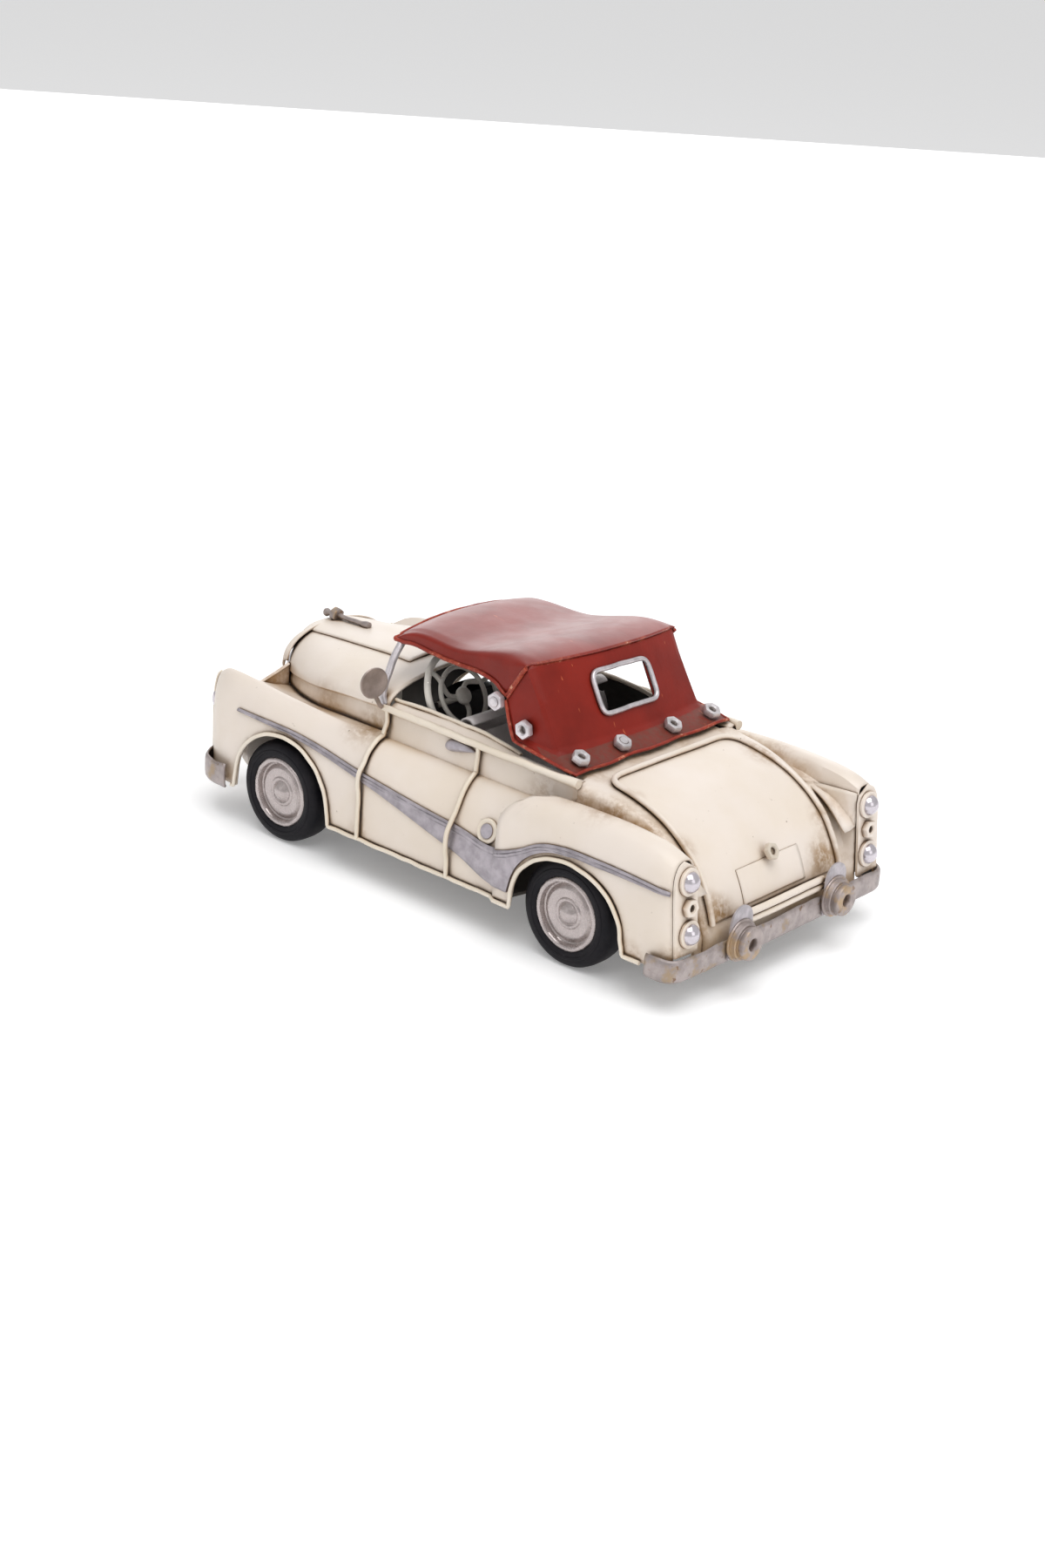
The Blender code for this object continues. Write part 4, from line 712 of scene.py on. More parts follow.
def hip_top(x):
    return smooth(x, [(-24, 36.6), (-33, 37.4), (-45, 38.0), (-60, 37.8), (-70, 36.7), (-77, 35.0)])


def hip_width(x):
    return 39.4 + smooth(x, [(-77, -1.0), (-74, -0.2), (-68, 0), (-24, 0)])


def hip_flank(x, count=24):
    return shoulder((33.4, hip_top(x)), (hip_width(x), 27.0), 2.6, count)


def deck_half_width(x):
    return smooth(x, [(-77, BELT_Y - 3.3), (-70, BELT_Y - 2.7), (-60, BELT_Y - 1.7), (-50, BELT_Y - 0.7),
                      (-39, BELT_Y)])


def cut(points, bottom, count):
    """Carries a (y, z) shoulder down to its bottom edge, or ends it there, in evenly spaced points."""
    kept = [p for p in points if p[1] > bottom]
    if len(kept) < len(points):
        after = points[len(kept)]
        share = (kept[-1][1] - bottom) / (kept[-1][1] - after[1])
        kept.append(mix(kept[-1], after, share))
    else:
        kept.append((points[-1][0], bottom))
    return resample(kept, count)


def surface_y(x, z):
    """Y of the outside sheet at x and z."""
    if x < HIP_X + 0.7:
        points = cut(hip_flank(x), SILL_Z, 60)
    elif x <= DOOR_XS[0]:
        points = cut(flank(x), SILL_Z, 60)
    else:
        points = cut(front_flank(x), SILL_Z, 60)
    return float(np.interp(-z, [-p[1] for p in points], [p[0] for p in points]))


def hood_lines(x):
    """Hood's half width, its lower edge and its crest at x."""
    half = smooth(x, [(21, BELT_Y - 0.2), (36, 27.2), (50, 24.8), (60, 21.0), (66, 17.9), (68, 16.9),
                      (70, 15.0), (72.5, 12.0),
                      (75, 8.6), (77, 5.0)])
    edge = smooth(x, [(21, 41.2), (39.5, 39.2), (54, 37.1), (60, 36.2), (66, 35.2), (70, 35.4), (77, 37.0)])
    crest = smooth(x, [(21, 48.0), (34, 47.0), (47, 45.6), (60, 44.6), (68, 44.2), (71, 43.8), (74, 42.6),
                       (77, 39.8)])
    return half, edge, crest


def valley_z(x):
    """Height of the fold where the fender meets the hood's wall."""
    return smooth(x, [(20, 35.1), (40, 33.5), (55, 32.2), (66, 31.4), (78, 31.0)])


# ---------------------------------------------------------------- body sheets

def make_front_fenders():
    left = []
    for x in stations(DOOR_XS[0] + 0.1, 78, FRONT_ARCH):
        inner_y = hood_lines(x)[0] - 0.3
        if x >= 66:
            inner_y = 25.4 - smooth(x, [(66, 7.8), (68.4, 8.0), (70.4, 0.8), (73, 0), (78, 0)])
        inner = (inner_y, valley_z(x))
        y, z = crown(x)
        slope = [inner] + [(inner[0] + (y - inner[0]) * s,
                            inner[1] + (z - inner[1]) * (0.32 * s + 0.68 * s * s))
                           for s in (0.12, 0.3, 0.5, 0.68, 0.84, 0.94)]
        section = slope + cut(front_flank(x), arch_edge(x, FRONT_ARCH), 30)
        left.append([(x, y, z) for y, z in section])
    for side, word in SIDES:
        rows = [flipped(row, side) for row in left]
        sheet(f"fender_front_{word}", rows, (50, 15 * side, 15), CREAM, nodes=[f"front_fender_{word}"],
              back=INSIDE)
        rim = [hand(p) for p in left[-1][3:]]
        edge = [(p[0] + 0.1, p[1] * side, p[2]) for p in rim]
        wires(f"fender_tip_bead_{word}", [(edge, 0.45, False)], CREAM_BEAD, drift=0)


def make_body_sides():
    left = []
    for share in np.linspace(0, 1, 40):
        row = []
        nominal = cut(flank(0), SILL_Z, 34)
        ends = [-39.3] * 5 + [smooth(z, [(10, -28), (24, -28), (28, -28.5), (30, -30.5), (33, -36),
                                         (35, -38.5)])
                              for _, z in nominal]
        for k, end in enumerate(ends):
            x = (DOOR_XS[0] - 0.1) * (1 - share) + end * share
            section = cut(flank(x), SILL_Z, 34)
            ledge = belt_z(x) + smooth(x, [(-26, -0.5), (-20, -0.3), (-12, 1.0), (20, 1.0)])
            upper = [(BELT_Y - 2.6, ledge), (BELT_Y - 1.2, (ledge + belt_z(x)) / 2 + 0.15),
                     (BELT_Y, belt_z(x)),
                     (BELT_Y, 39.6), (BELT_Y + 0.05, 37)]
            row.append((x, *(upper + section)[k]))
        left.append(row)
    for side, word in SIDES:
        rows = [flipped(row, side) for row in left]
        sheet(f"side_panel_{word}", rows, (0, 10 * side, 25), CREAM, nodes=[f"body_side_{word}"],
              back=INSIDE, angle=40)


def make_rear_fenders():
    front_knots = [(9, HIP_X), (27, HIP_X), (30.9, -25.2), (33.4, -26.6), (35.2, -28.6), (36.2, -31.0),
                   (36.6, -33.6)]
    left = []
    for x in stations(TAIL_X, HIP_X, REAR_ARCH):
        row = []
        nominal = cut(hip_flank(HIP_X), SILL_Z, 30)
        fronts = [-37.0, -37.0, -36.6, -36.0, -35.5, -34.6] + [smooth(z, front_knots) for _, z in nominal]
        for k, front in enumerate(fronts):
            taper = smooth(k, [(0, 1), (16, 1), (26, 0), (40, 0)])
            at = TAIL_X + (x - TAIL_X) * (1 + taper * ((front - TAIL_X) / (HIP_X - TAIL_X) - 1))
            low = smooth(at, [(-77, 25), (-70, 30), (-60, 33.4), (-37, 34.3)])
            inner = deck_half_width(at) + 0.35
            wall = [(inner, low), (mix((inner, 0), (BELT_Y + 1.2, 0), 0.6)[0], low + 0.05),
                    (BELT_Y + 1.1, low + 0.5),
                    (BELT_Y + 1.7, (low + hip_top(at)) / 2), (BELT_Y + 2.3, hip_top(at) - 0.8),
                    (BELT_Y + 3.2, hip_top(at) - 0.12)]
            y, z = (wall + cut(hip_flank(at), arch_edge(at, REAR_ARCH), 30))[k]
            lean = TAIL_LEAN * (z - 14) * smooth(at, [(TAIL_X, 1), (-70, 0), (-24, 0)])
            row.append((at + lean, y, z))
        left.append(row)
    for side, word in SIDES:
        rows = [flipped(row, side) for row in left]
        sheet(f"fender_rear_{word}", rows, (-50, 34.5 * side, 15), CREAM_TAIL,
              nodes=[f"rear_fender_{word}"], back=INSIDE)


def make_hood():
    rows = []
    for x in np.linspace(20.8, 77, 48):
        half, edge, crest = hood_lines(x)
        floor = min(valley_z(x) - 0.1, edge - 1.6)
        arc = resample(shoulder((0, crest), (half, edge), 2.3, 40), 26)
        lip = [(half - 0.25, edge - 0.35), (half - 0.75, edge - 0.75), (half - 0.75, edge - 1.3)]
        wall = [(half - 0.45, edge + (floor - edge) * s) for s in (0.5, 0.75, 1.0)]
        side = arc + lip + wall
        rows.append(mirrored([(x, y, z) for y, z in side]))
    sheet("bonnet", rows, (50, 0, 20), CREAM, nodes=["hood"], back=INSIDE)
    rows = []
    for x in np.linspace(29.5, 76.8, 44):
        half, edge, crest = hood_lines(x)
        reach = smooth(x, [(30, 13.2), (40, 11.2), (50, 10.0), (60, 9.0), (69, 8.2), (73, 7.0),
                           (76.8, 4.0)])
        row = []
        for share in np.linspace(-1, 1, 25):
            y = reach * share
            sine = (abs(y) / half) ** 1.15
            height = edge + (crest - edge) * (1 - sine * sine) ** (1 / 2.3)
            swell = 0.35 * (1 - abs(share) ** 4)
            row.append((x, y, height + 0.55 + swell))
        rows.append(row)
    sheet("bonnet_strip", rows, (50, 0, 20), CREAM, nodes=["hood_center_panel"])
    rows = []
    half, edge, crest = hood_lines(68.6)
    for y, z in resample([(y, z) for y, z in shoulder((0, crest), (half, edge + 2), 2.3, 40)], 30)[::-1]:
        lift = Vector((y / 14, (z - 36) / 8)).normalized() * 0.75
        bend = 0.7 * (1 - (y / half) ** 2)
        rows.append([(68.4 + bend + dx, y + lift.x * k - 0.1 * dx * y / half, z + lift.y * k - drop)
                     for dx, k, drop in ((0, 0.5, 0), (0.3, 1, 0), (1.3, 1, 0.1), (2.0, 1, 0.5),
                                         (2.5, 0.6, 1.3), (2.6, 0.2, 2.3))])
    rows = rows[:-1] + [flipped(row, -1) for row in rows[::-1]]
    sheet("bonnet_lip", rows, (60, 0, 30), CREAM, nodes=["hood_center_panel"])


def make_front_panel():
    plan = [(0, 78.4, 35.0, 1.2), (5, 77.2, 35.0, 1.2), (10, 74.0, 35.2, 1.2), (14, 71.0, 36.0, 1.2),
            (17.6, 68.0, 37.3, 1.0),
            (21, 68.8, 35.6, 1.0), (25.5, 70.0, 33.4, 1.0), (27.5, 71.0, 33.2, 0.6),
            (24.9, 75.6, 31.0, 0.4)]
    half = [mix(a, b, t) for a, b in zip(plan, plan[1:])
            for t in np.linspace(0, 1, 5, endpoint=False)] + [plan[-1]]
    rows = []
    for y, x, top, fold in [(-y, x, top, fold) for y, x, top, fold in half[:0:-1]] + half:
        section = [(x - fold, y, top - 0.3), (x - 0.3, y, top), (x, y, top - 1.6), (x, y, 22),
                   (x - 0.4, y, 11)]
        fine = [mix(a, b, t) for a, b in zip(section, section[1:])
                for t in (0, 0.25, 0.5, 0.75)] + [section[-1]]
        rows.append(fine)
    sheet("nose_panel", rows, (40, 0, 20), CREAM_TAIL, nodes=["front_panel"])


DECK = [(-33.5, 41.0), (-38, 40.7), (-42, 40.0), (-50, 38.9), (-58, 36.6), (-64.5, 33.0), (-69.5, 28.6),
        (-72.6, 23.8), (-74.4, 19.9), (-75.4, 16.8)]


def deck_path(count, start=0):
    """(x, z, normal x, normal z) evenly along the deck's side view."""
    points = spline([(x, 0, z) for x, z in DECK[start:]], count)
    found = []
    for k, (x, _, z) in enumerate(points):
        a, b = points[max(k - 1, 0)], points[min(k + 1, count - 1)]
        way = Vector((b[0] - a[0], b[2] - a[2])).normalized()
        found.append((x, z, way.y, -way.x))
    return found


def make_deck():
    rows = []
    path = deck_path(60) + [(-76.0, 15.6, -1, 0), (-76.5, 14.2, -1, 0), (-76.8, 12.0, -1, 0),
                            (-76.8, 9.6, -1, 0)]
    for x, z, nx, nz in path:
        half = 26 if x > -38.5 else deck_half_width(min(x, -39.0))
        depth = smooth(x, [(-77, 3), (-60, 5), (-45, 6.4), (-33.5, 6.8)])
        side = [(y, 0) for y in np.linspace(0, half - 2.2, 12)]
        side += [(half - 2.2 + 2.2 * math.sin(a), 2.2 - 2.2 * math.cos(a))
                 for a in np.linspace(0.2, math.pi / 2, 6)]
        side += [(half, 2.2 + (depth - 2.2) * s) for s in (0.25, 0.5, 0.75, 1)]
        points = [(x - nx * d, y, z - nz * d) for y, d in side]
        rows.append(mirrored(points))
    sheet("deck", rows, (-50, 0, 20), CREAM_TAIL, nodes=["rear_deck"])


def make_tail_fillers():
    """Fold that joins the deck's side to the lamp plate."""
    for side, word in SIDES:
        rows = []
        for z in np.linspace(9.6, 33.5, 26):
            deck_x = float(np.interp(z, [9.6, 14.2, 16.8, 19.9, 23.8, 28.6, 33.0, 36.6],
                                     [-76.4, -76.2, -75.0, -74.0, -72.2, -69.1, -64.1, -57.6]))
            plate = (TAIL_X + 0.2 + TAIL_LEAN * (z - 14), 30.9, z)
            inner = (deck_x + 1.2, deck_half_width(min(deck_x, -39.0)) - 0.6, z)
            bend = (max(deck_x + 0.4, plate[0] - 0.2) - 0.3, 29.2, z)
            rows.append([mix(inner, bend, s) for s in (0, 0.35, 0.7)] + [mix(bend, plate, s)
                                                                         for s in (0, 0.4, 0.7, 1)])
        sheet(f"tail_fold_{word}", [flipped(row, side) for row in rows], (-40, 28 * side, 20), CREAM_TAIL)


def lid_half(x, along, corner=4.2):
    half = smooth(x, [(-74.2, 24.0), (-58, 23.2), (-42, 22.2)])
    return half - (corner - math.sqrt(corner**2 - (corner - along) ** 2)) if along < corner else half


def make_boot():
    path = deck_path(90, 2)
    outline, rows, along = [], [], 0.0
    before = Vector(path[0][:2])
    for x, z, nx, nz in path:
        along += (Vector((x, z)) - before).length
        before = Vector((x, z))
        half = lid_half(x, along + 0.02)
        row = []
        for share in np.linspace(-1, 1, 31):
            dip = 0.25 * (1 - abs(share) ** 6)
            lift = 0.55 - 0.25 * (1 - abs(share) ** 10) + dip * 0.4
            row.append((x + nx * lift, half * share, z + nz * lift))
        rows.append(row)
        outline.append((x, z, nx, nz, half))
    sheet("boot_skin", rows, (-50, 0, 20), CREAM_BOOT, nodes=["boot_lid"], thickness=0.4)
    ride = 0.95
    left = [(x + nx * ride, half + 0.25, z + nz * ride) for x, z, nx, nz, half in outline]
    top = [(left[0][0] + 0.1, y, left[0][2]) for y in np.linspace(-left[0][1], left[0][1], 24)[1:-1]]
    run = flipped(left[::-1], -1) + top + left
    bead = [(resample(run, 190), 0.72, False)]
    ribs = [(resample([(-77.7 - 0.12 * k, -15.6, z), (-77.9 - 0.12 * k, 0, z), (-77.7 - 0.12 * k, 15.6, z)],
                      30), 0.84, False)
            for k, z in enumerate((17.3, 15.6))]
    wires("boot_bead", bead + ribs, CREAM_BOOT, shake=0.05, sides=12)
    rows = []
    for x, z, nx, nz in deck_path(120, 2):
        if 17.6 < z < 25.3:
            rows.append([(x + nx * 0.62, y, z + nz * 0.62) for y in np.linspace(-11.4, 11.8, 20)])
    sheet("boot_plate", rows, (-50, 0, 20), CREAM_BOOT, thickness=0.2)
    bm = bmesh.new()
    nut(bm, (-73.0, 0.2, 27.0), (-0.86, 0, 0.51), 3.7, 1.3, 0.95, 0.3)
    solid_piece("boot_nut", bm, CREAM_NUT, ["boot_handle"])


# ---------------------------------------------------------------- soft top

ROOF_Z, ROOF_HALF = 62.2, 27.3


def roof_half(x):
    return smooth(x, [(-20, 27.1), (-14, 26.7), (0, 25.1), (12, 23.7), (26, 22.2)])


def roof_point(share, across, inset, fall):
    """Point of the roof at a share of its length and width, with fall 1 at the folded side's hem."""
    side_x = 26 - 46 * share
    bow = 1 - across ** 2
    top = smooth(side_x, [(-20, 62.4), (-12.4, 61.4), (0, 59.9), (15, 58.0), (26, 57.0)])
    low = smooth(side_x, [(-20, 61.4), (-19, 59.8), (-17.2, 56.6), (-15.6, 54.0), (-14.6, 52.3),
                          (-13.4, 52.3), (-11.2, 53.5),
                          (-4.8, 55.2), (0, 55.7), (5, 55.6), (9, 55.0), (14, 54.5), (20, 54.6),
                          (23.6, 55.2), (26, 56.5)])
    x = side_x + (0.8 - 4.2 * share) * bow
    rise = (1.9 - 1.3 * share) * bow
    return (x, roof_half(side_x) * across - inset, top + rise + (low - top) * fall)


def leaning(point):
    """Place of a soft-top point once the whole top twists a little to the right."""
    x, y, z = point
    twist = smooth(x, [(-20, 0.8), (0, 0.8), (14, 0.6), (26, -0.3)])
    return (x, y, z + twist * (y / ROOF_HALF) * min(max((z - 44) / 12, 0), 1))


def make_roof():
    rows = []
    fold = [(1, 0, f) for f in (1, 0.85, 0.7, 0.55, 0.42, 0.31)]
    fold += [(1, 0.1, 0.22), (1, 0.4, 0.13), (1, 0.95, 0.06), (1, 1.7, 0.02)]
    fold += [(across, 0, 0) for across in np.linspace(0.9, 0, 18)]
    for share in np.concatenate([[0, 0.008, 0.02], np.linspace(0.045, 0.95, 48), [0.972, 0.988, 1]]):
        row = [roof_point(share, *place) for place in fold]
        curl = smooth(share, [(0, -0.5), (0.02, 0), (0.5, 0), (0.985, 0), (1, -0.3)])
        row = [(x, y, z + curl) for x, y, z in row]
        rows.append([leaning(p) for p in row + flipped(row[-2::-1], -1)])
    last = len(rows[0]) - 1
    sheet("roof_skin", rows, (0, 0, 40), RED_ROOF, nodes=["soft_top_roof"], drift=0.12,
          back=DARK_RED,
          band=lambda i, j: smooth(min(j, last - j), [(0, 1), (5, 1), (9, 0), (20, 0)]))
    front = [(x + 0.1, y, z - 0.1) for x, y, z in rows[0]]
    runs = [([(row[k][0], row[k][1] * 1.004, row[k][2]) for row in rows], 0.5, False) for k in (0, -1)]
    wires("roof_hem", runs + [(front, 0.48, False)], RED_HEM, drift=0.2, shake=0.1)


WINDOW_ROWS, WINDOW_HALF = (0.22, 0.74), 10.2


def curtain_columns():
    """(top, bend, skirt edge) points of the rear curtain, from its left wing to the middle."""
    tip, corner = (-14.4, 27.1, 52.4), (-19.7, 26.6, ROOF_Z - 1.0)
    wing_low, bend = (-17.4, 27.7, 46.0), (-29.0, 26.0, 44.6)
    columns = [(mix(tip, corner, s), mix(wing_low, bend, s),
                mix((-18.9, 28.4, 44.6), (-35.6, 28.5, 42.2), s))
               for s in (0, 0.12, 0.25, 0.38, 0.5, 0.62, 0.74, 0.86, 0.94)]
    columns.append((corner, bend, (-37.6, 28.2, 41.9)))
    for y, low_x in ((25.6, -29.8), (24.0, -30.2), (20.5, -30.8), (17, -31.2), (13.5, -31.5),
                     (WINDOW_HALF, -31.8)):
        columns.append(curtain_column(y, low_x))
    columns += [curtain_column(y, -31.8 - 0.3 * (1 - y / WINDOW_HALF)) for y in (9.7, 7.5, 5, 2.5, 0)]
    return columns


def curtain_column(y, low_x):
    bow = 1 - (y / ROOF_HALF) ** 2
    wave = 0.35 * math.sin(y * 0.42 + 0.8)
    return (-19.7 - 3.3 * bow, y, ROOF_Z + 0.5 * bow - 0.5), (low_x, y, 45), (-37.8 - wave, y, 42.15)


def make_curtain():
    up, down = WINDOW_ROWS
    shares = [0, 0.05, 0.1, 0.16, up, up + 0.02, 0.31, 0.4, 0.48, 0.56, 0.65, down - 0.02, down, 0.79, 0.85,
              0.91, 0.96]
    hole = (shares.index(up + 0.02), shares.index(down - 0.02))
    left = []
    for top, low, edge in curtain_columns():
        column = [mix(top, low, s) for s in shares]
        knee = [mix(mix(top, low, 0.985), edge, s) for s in (0.02, 0.07)]
        column += knee + [mix(mix(top, low, 1), edge, s)
                          for s in (0.16, 0.3, 0.45, 0.6, 0.75, 0.87, 0.95, 1)]
        left.append(column)
    right = [flipped(column, -1) for column in left[:-1]]
    columns = [[leaning(p) for p in column] for column in left + right[::-1]]
    middle = len(left) - 1
    def in_window(i, j):
        return middle - 4 <= i < middle + 4 and hole[0] <= j < hole[1]
    flat = len(shares)
    sheet("curtain_skin", columns, (0, 0, 50), RED_CURTAIN, nodes=["rear_curtain"],
          skip=in_window,
          band=lambda i, j: 1.0 if j > flat + 2 and i > 4 and i < 2 * middle - 4 else 0.0, drift=0.2,
          back=DARK_RED)
    edge = [column[-1] for column in columns]
    hems = [([(x, y * 1.004, z) for x, y, z in columns[k]], 0.45, False) for k in (0, -1)]
    for start, end in ((0, 9), (-1, -10)):
        seam = [mix(columns[start][0], columns[end][0], t) for t in np.linspace(0.1, 0.98, 12)]
        hems.append(([(x - 0.2, y * 1.009, z) for x, y, z in seam], 0.35, False))
    wires("curtain_hem", hems + [(edge, 0.42, False)], RED_HEM, drift=0.2, shake=0.12)


def make_window_frame():
    up, down = WINDOW_ROWS
    top, low, _ = curtain_column(WINDOW_HALF, -31.8)
    corners = []
    for side, row in ((1, up), (-1, up), (-1, down), (1, down)):
        x, y, z = mix(top, low, row)
        corners.append(Vector((x, y * side, z)))
    out = Vector((-0.89, 0, 0.46)) * 0.62
    points = []
    for k, corner in enumerate(corners):
        start = corner + (corners[k - 1] - corner).normalized() * 2.6
        end = corner + (corners[(k + 1) % 4] - corner).normalized() * 2.6
        for t in np.linspace(0, 1, 9):
            round_corner = start * (1 - t) ** 2 + corner * 2 * t * (1 - t) + end * t * t
            points.append(Vector(leaning(round_corner)) + out)
    ring = resample(points + [points[0]], 97)[:-1]
    wires("window_frame", [(ring, 0.6, True)], BRIGHT, nodes=["rear_window_frame"],
          drift=0.2,
          shake=0.12, sides=12)


def make_nuts():
    slope = Vector((-0.45, 0, 0.89))
    for k, y in enumerate((24.1, 9.4, -9.4, -24.1)):
        bm = bmesh.new()
        foot = hand(Vector((-35.0, y, 43.6)) + slope * 0.25, 0.2)
        nut(bm, foot, slope, 4.0, 1.6, 1.05, 0.3 + k)
        if k == 1:
            turned(bm, [(1.2, 1.2), (1.0, 1.62), (0, 1.75)], foot, slope, 20)
        solid_piece(f"soft_top_nut_{k + 1}", bm, NUT, [f"skirt_nut_{k + 1}"])
    for side, word in SIDES:
        for place, (x, z), lift in (("front", (-12.6, 51.9), 27.5), ("rear", (-21.6, 48.0), 27.7)):
            bm = bmesh.new()
            at = hand(leaning((x, side * lift, z)), 0.2)
            nut(bm, at, (0, side, 0), 4.0, 1.6, 1.05, 0.9)
            if place == "front":
                turned(bm, [(1.25, 1.0), (1.25, 1.9), (0.9, 2.15), (0, 2.2)], at, (0, side, 0), 20)
            solid_piece(f"side_nut_{place}_{word}_fine", bm, BRIGHT, [f"side_nut_{place}_{word}"])


# ---------------------------------------------------------------- beads and trim

def over_arch(x, arch):
    middle, half_width, height = arch
    margin = 1.4
    share = (x - middle) / (half_width + margin)
    return AXLE_Z + (height + margin) * math.sqrt(1 - share * share) if abs(share) < 1 else 0


def spear_lower(x):
    line = smooth(x, [(-75, 28.2), (-55, 28.4), (-46, 28.0), (-38, 24.0), (-32, 16.0), (-29.6, 13.6),
                      (-27.0, 13.4),
                      (-9.5, 17.6), (19, 24.8), (44, 29.4), (63, 30.2)])
    return max(line, over_arch(x, FRONT_ARCH), over_arch(x, REAR_ARCH))


def spear_upper(x):
    line = smooth(x, [(-75, 29.2), (-55, 30.2), (-45, 29.9), (-38, 28.4), (-31, 24.8), (-25, 22.6),
                      (-9.5, 23.4),
                      (19, 27.0), (44, 30.6), (63, 31.0)])
    return max(line, spear_lower(x) + 0.7)


def make_spears():
    left = []
    places = np.linspace(63.6, -75.2, 160)
    for x in places:
        up, low = spear_upper(x), spear_lower(x)
        row = []
        for mm in np.linspace(0, 1, 15):
            z = up + (low - up) * mm
            depth = mm * (up - low)
            ridge = 0.30 * peak(depth, 0.45, 0.28) + 0.22 * peak(depth, 1.25, 0.25)
            rest = 0.12 * peak((1 - mm) * (up - low), 0, 0.35)
            climb = min(max((-13 - x) / 11, 0), 1) if x > HIP_X + 0.7 else 0
            climb = 0.9 * climb * climb * (3 - 2 * climb)
            row.append((x, surface_y(x, z) + 0.42 + ridge + rest + climb, z))
        left.append(row)
    for side, word in SIDES:
        rows = [flipped(row, side) for row in left]
        sheet(f"spear_{word}", rows, (0, 0, 25), SPEAR, nodes=[f"side_spear_{word}"],
              thickness=0.4,
              angle=60)


def lifted(x, z, extra=0.0):
    return (x, surface_y(x, z) + 0.62 + extra, z)


def make_beads():
    low = []
    for arch, start in ((FRONT_ARCH, 0), (REAR_ARCH, 1)):
        low += [lifted(x, arch_edge(x, arch)) for x in arch_stations(arch, 60)[::-1][0 if start else 1:-1]]
        if not start:
            low += [lifted(x, SILL_Z) for x in np.linspace(30, HIP_X + 1, 40)] + [lifted(x, SILL_Z)
                    for x in (-25.4, -28, -30)]
    low = [lifted(65.2, SILL_Z), lifted(64.2, SILL_Z)] + low + [lifted(-64, SILL_Z), lifted(-69, SILL_Z)]
    runs = [(resample(low, 260), BEAD, False)]
    for x in DOOR_XS:
        section = flank(x, 22)
        fold_y, fold_z = section[0]
        upright = [(x, BELT_Y + 0.9, 41.2), (x, BELT_Y + 0.75, 38), (x, fold_y + 0.9, fold_z + 1.3)]
        for k, (y, z) in enumerate(section[1:]):
            a, b = Vector(section[k]), Vector(section[min(k + 2, len(section) - 1)])
            on_spear = smooth(z, [(spear_lower(x) - 2.5, 0), (spear_lower(x) - 0.6, 0.62),
                                  (spear_upper(x) + 0.6, 0.62),
                                  (spear_upper(x) + 2.5, 0)])
            out = Vector((a.y - b.y, b.x - a.x)).normalized() * (0.75 + on_spear)
            upright.append((x, y + out.x, z + out.y))
        upright += [(x, FLANK_Y + 0.75, z) for z in (15, 12.5, SILL_Z - 0.2)]
        runs.append((resample(upright, 60), BEAD + 0.08, False))
    belt = [(x, BELT_Y + 0.7, belt_z(x) - 0.35) for x in (21.4, 8, -4, -16, -28, -36)] + [(-39.9,
            BELT_Y + 0.4, belt_z(-40) - 0.3)]
    def belt_radius(share):
        return 0.85 + 0.35 * max(0.0, (share - 0.88) / 0.12)
    runs.append((spline(belt, 90), belt_radius, False))
    ledge = [(x, BELT_Y - 2.5, belt_z(x) + smooth(x,
                                                  [(-26, -0.5), (-20, -0.3), (-12, 1.0), (20, 1.0)]) + 0.05)
             for x in (20.6, 8, -4, -12, -20)]
    runs.append((spline(ledge, 60), 0.55, False))
    for side, word in SIDES:
        flipped = [([tuple(hand(p)[i] * (side if i == 1 else 1) for i in range(3)) for p in points], r,
                    closed)
                   for points, r, closed in runs]
        wires(f"beads_{word}", flipped, CREAM_BEAD, nodes=[f"bead_frame_{word}"], drift=0, shake=0.2)


def make_bumpers():
    plans = {
        "rear": ([(-78.9, 0), (-78.9, 14), (-78.8, 26), (-78.6, 34), (-78.3, 37.6), (-77.2, 39.6),
                  (-75.2, 40.4), (-73.2, 40.6), (-71.0, 40.6)],
                 8.2, 13.8),
        "front": ([(81.4, 0), (81.1, 12), (80.2, 24), (78.9, 31), (77.0, 35.6), (74.4, 38.4), (70.8, 39.6),
                   (66.0, 39.9)],
                  9.4, 15.6),
    }
    for word, (plan, low, high) in plans.items():
        half = spline([(x, y, 0) for x, y in plan], 60)
        points = [(x, y) for x, y, _ in mirrored(half)]
        rows = []
        for k, (x, y) in enumerate(points):
            a, b = Vector(points[max(k - 1, 0)]), Vector(points[min(k + 1, len(points) - 1)])
            out = Vector((b.y - a.y, a.x - b.x)).normalized()
            out = -out if out.dot(Vector((x, y))) < 0 else out
            row = []
            for share in np.linspace(0, 1, 9):
                bulge = 0.5 * (1 - (2 * share - 1) ** 6)
                ragged = 0.25 * noise.noise(Vector((x, y, share * 3)) * 0.25)
                z = low + (high - low) * share + ragged * (1 if share > 0.9 else 0)
                row.append((x + out.x * bulge, y + out.y * bulge, z))
            rows.append(row)
        sheet(f"bumper_{word}", rows, (0, 0, (low + high) / 2), BUMPER, nodes=[f"{word}_bumper"],
              drift=0.3, angle=50)
    bm = bmesh.new()
    for side, _ in SIDES:
        turned(bm, [(0, 0), (3.2, 0), (3.25, 0.3), (3.2, 1.4), (2.9, 2.0), (2.2, 2.7), (1.2, 3.1),
                    (0, 3.2)],
               (80.7, side * GUARD_Y, 12.5), (1, 0, 0), 40)
    solid_piece("front_guards", bm, CUP, ["front_bumper"])


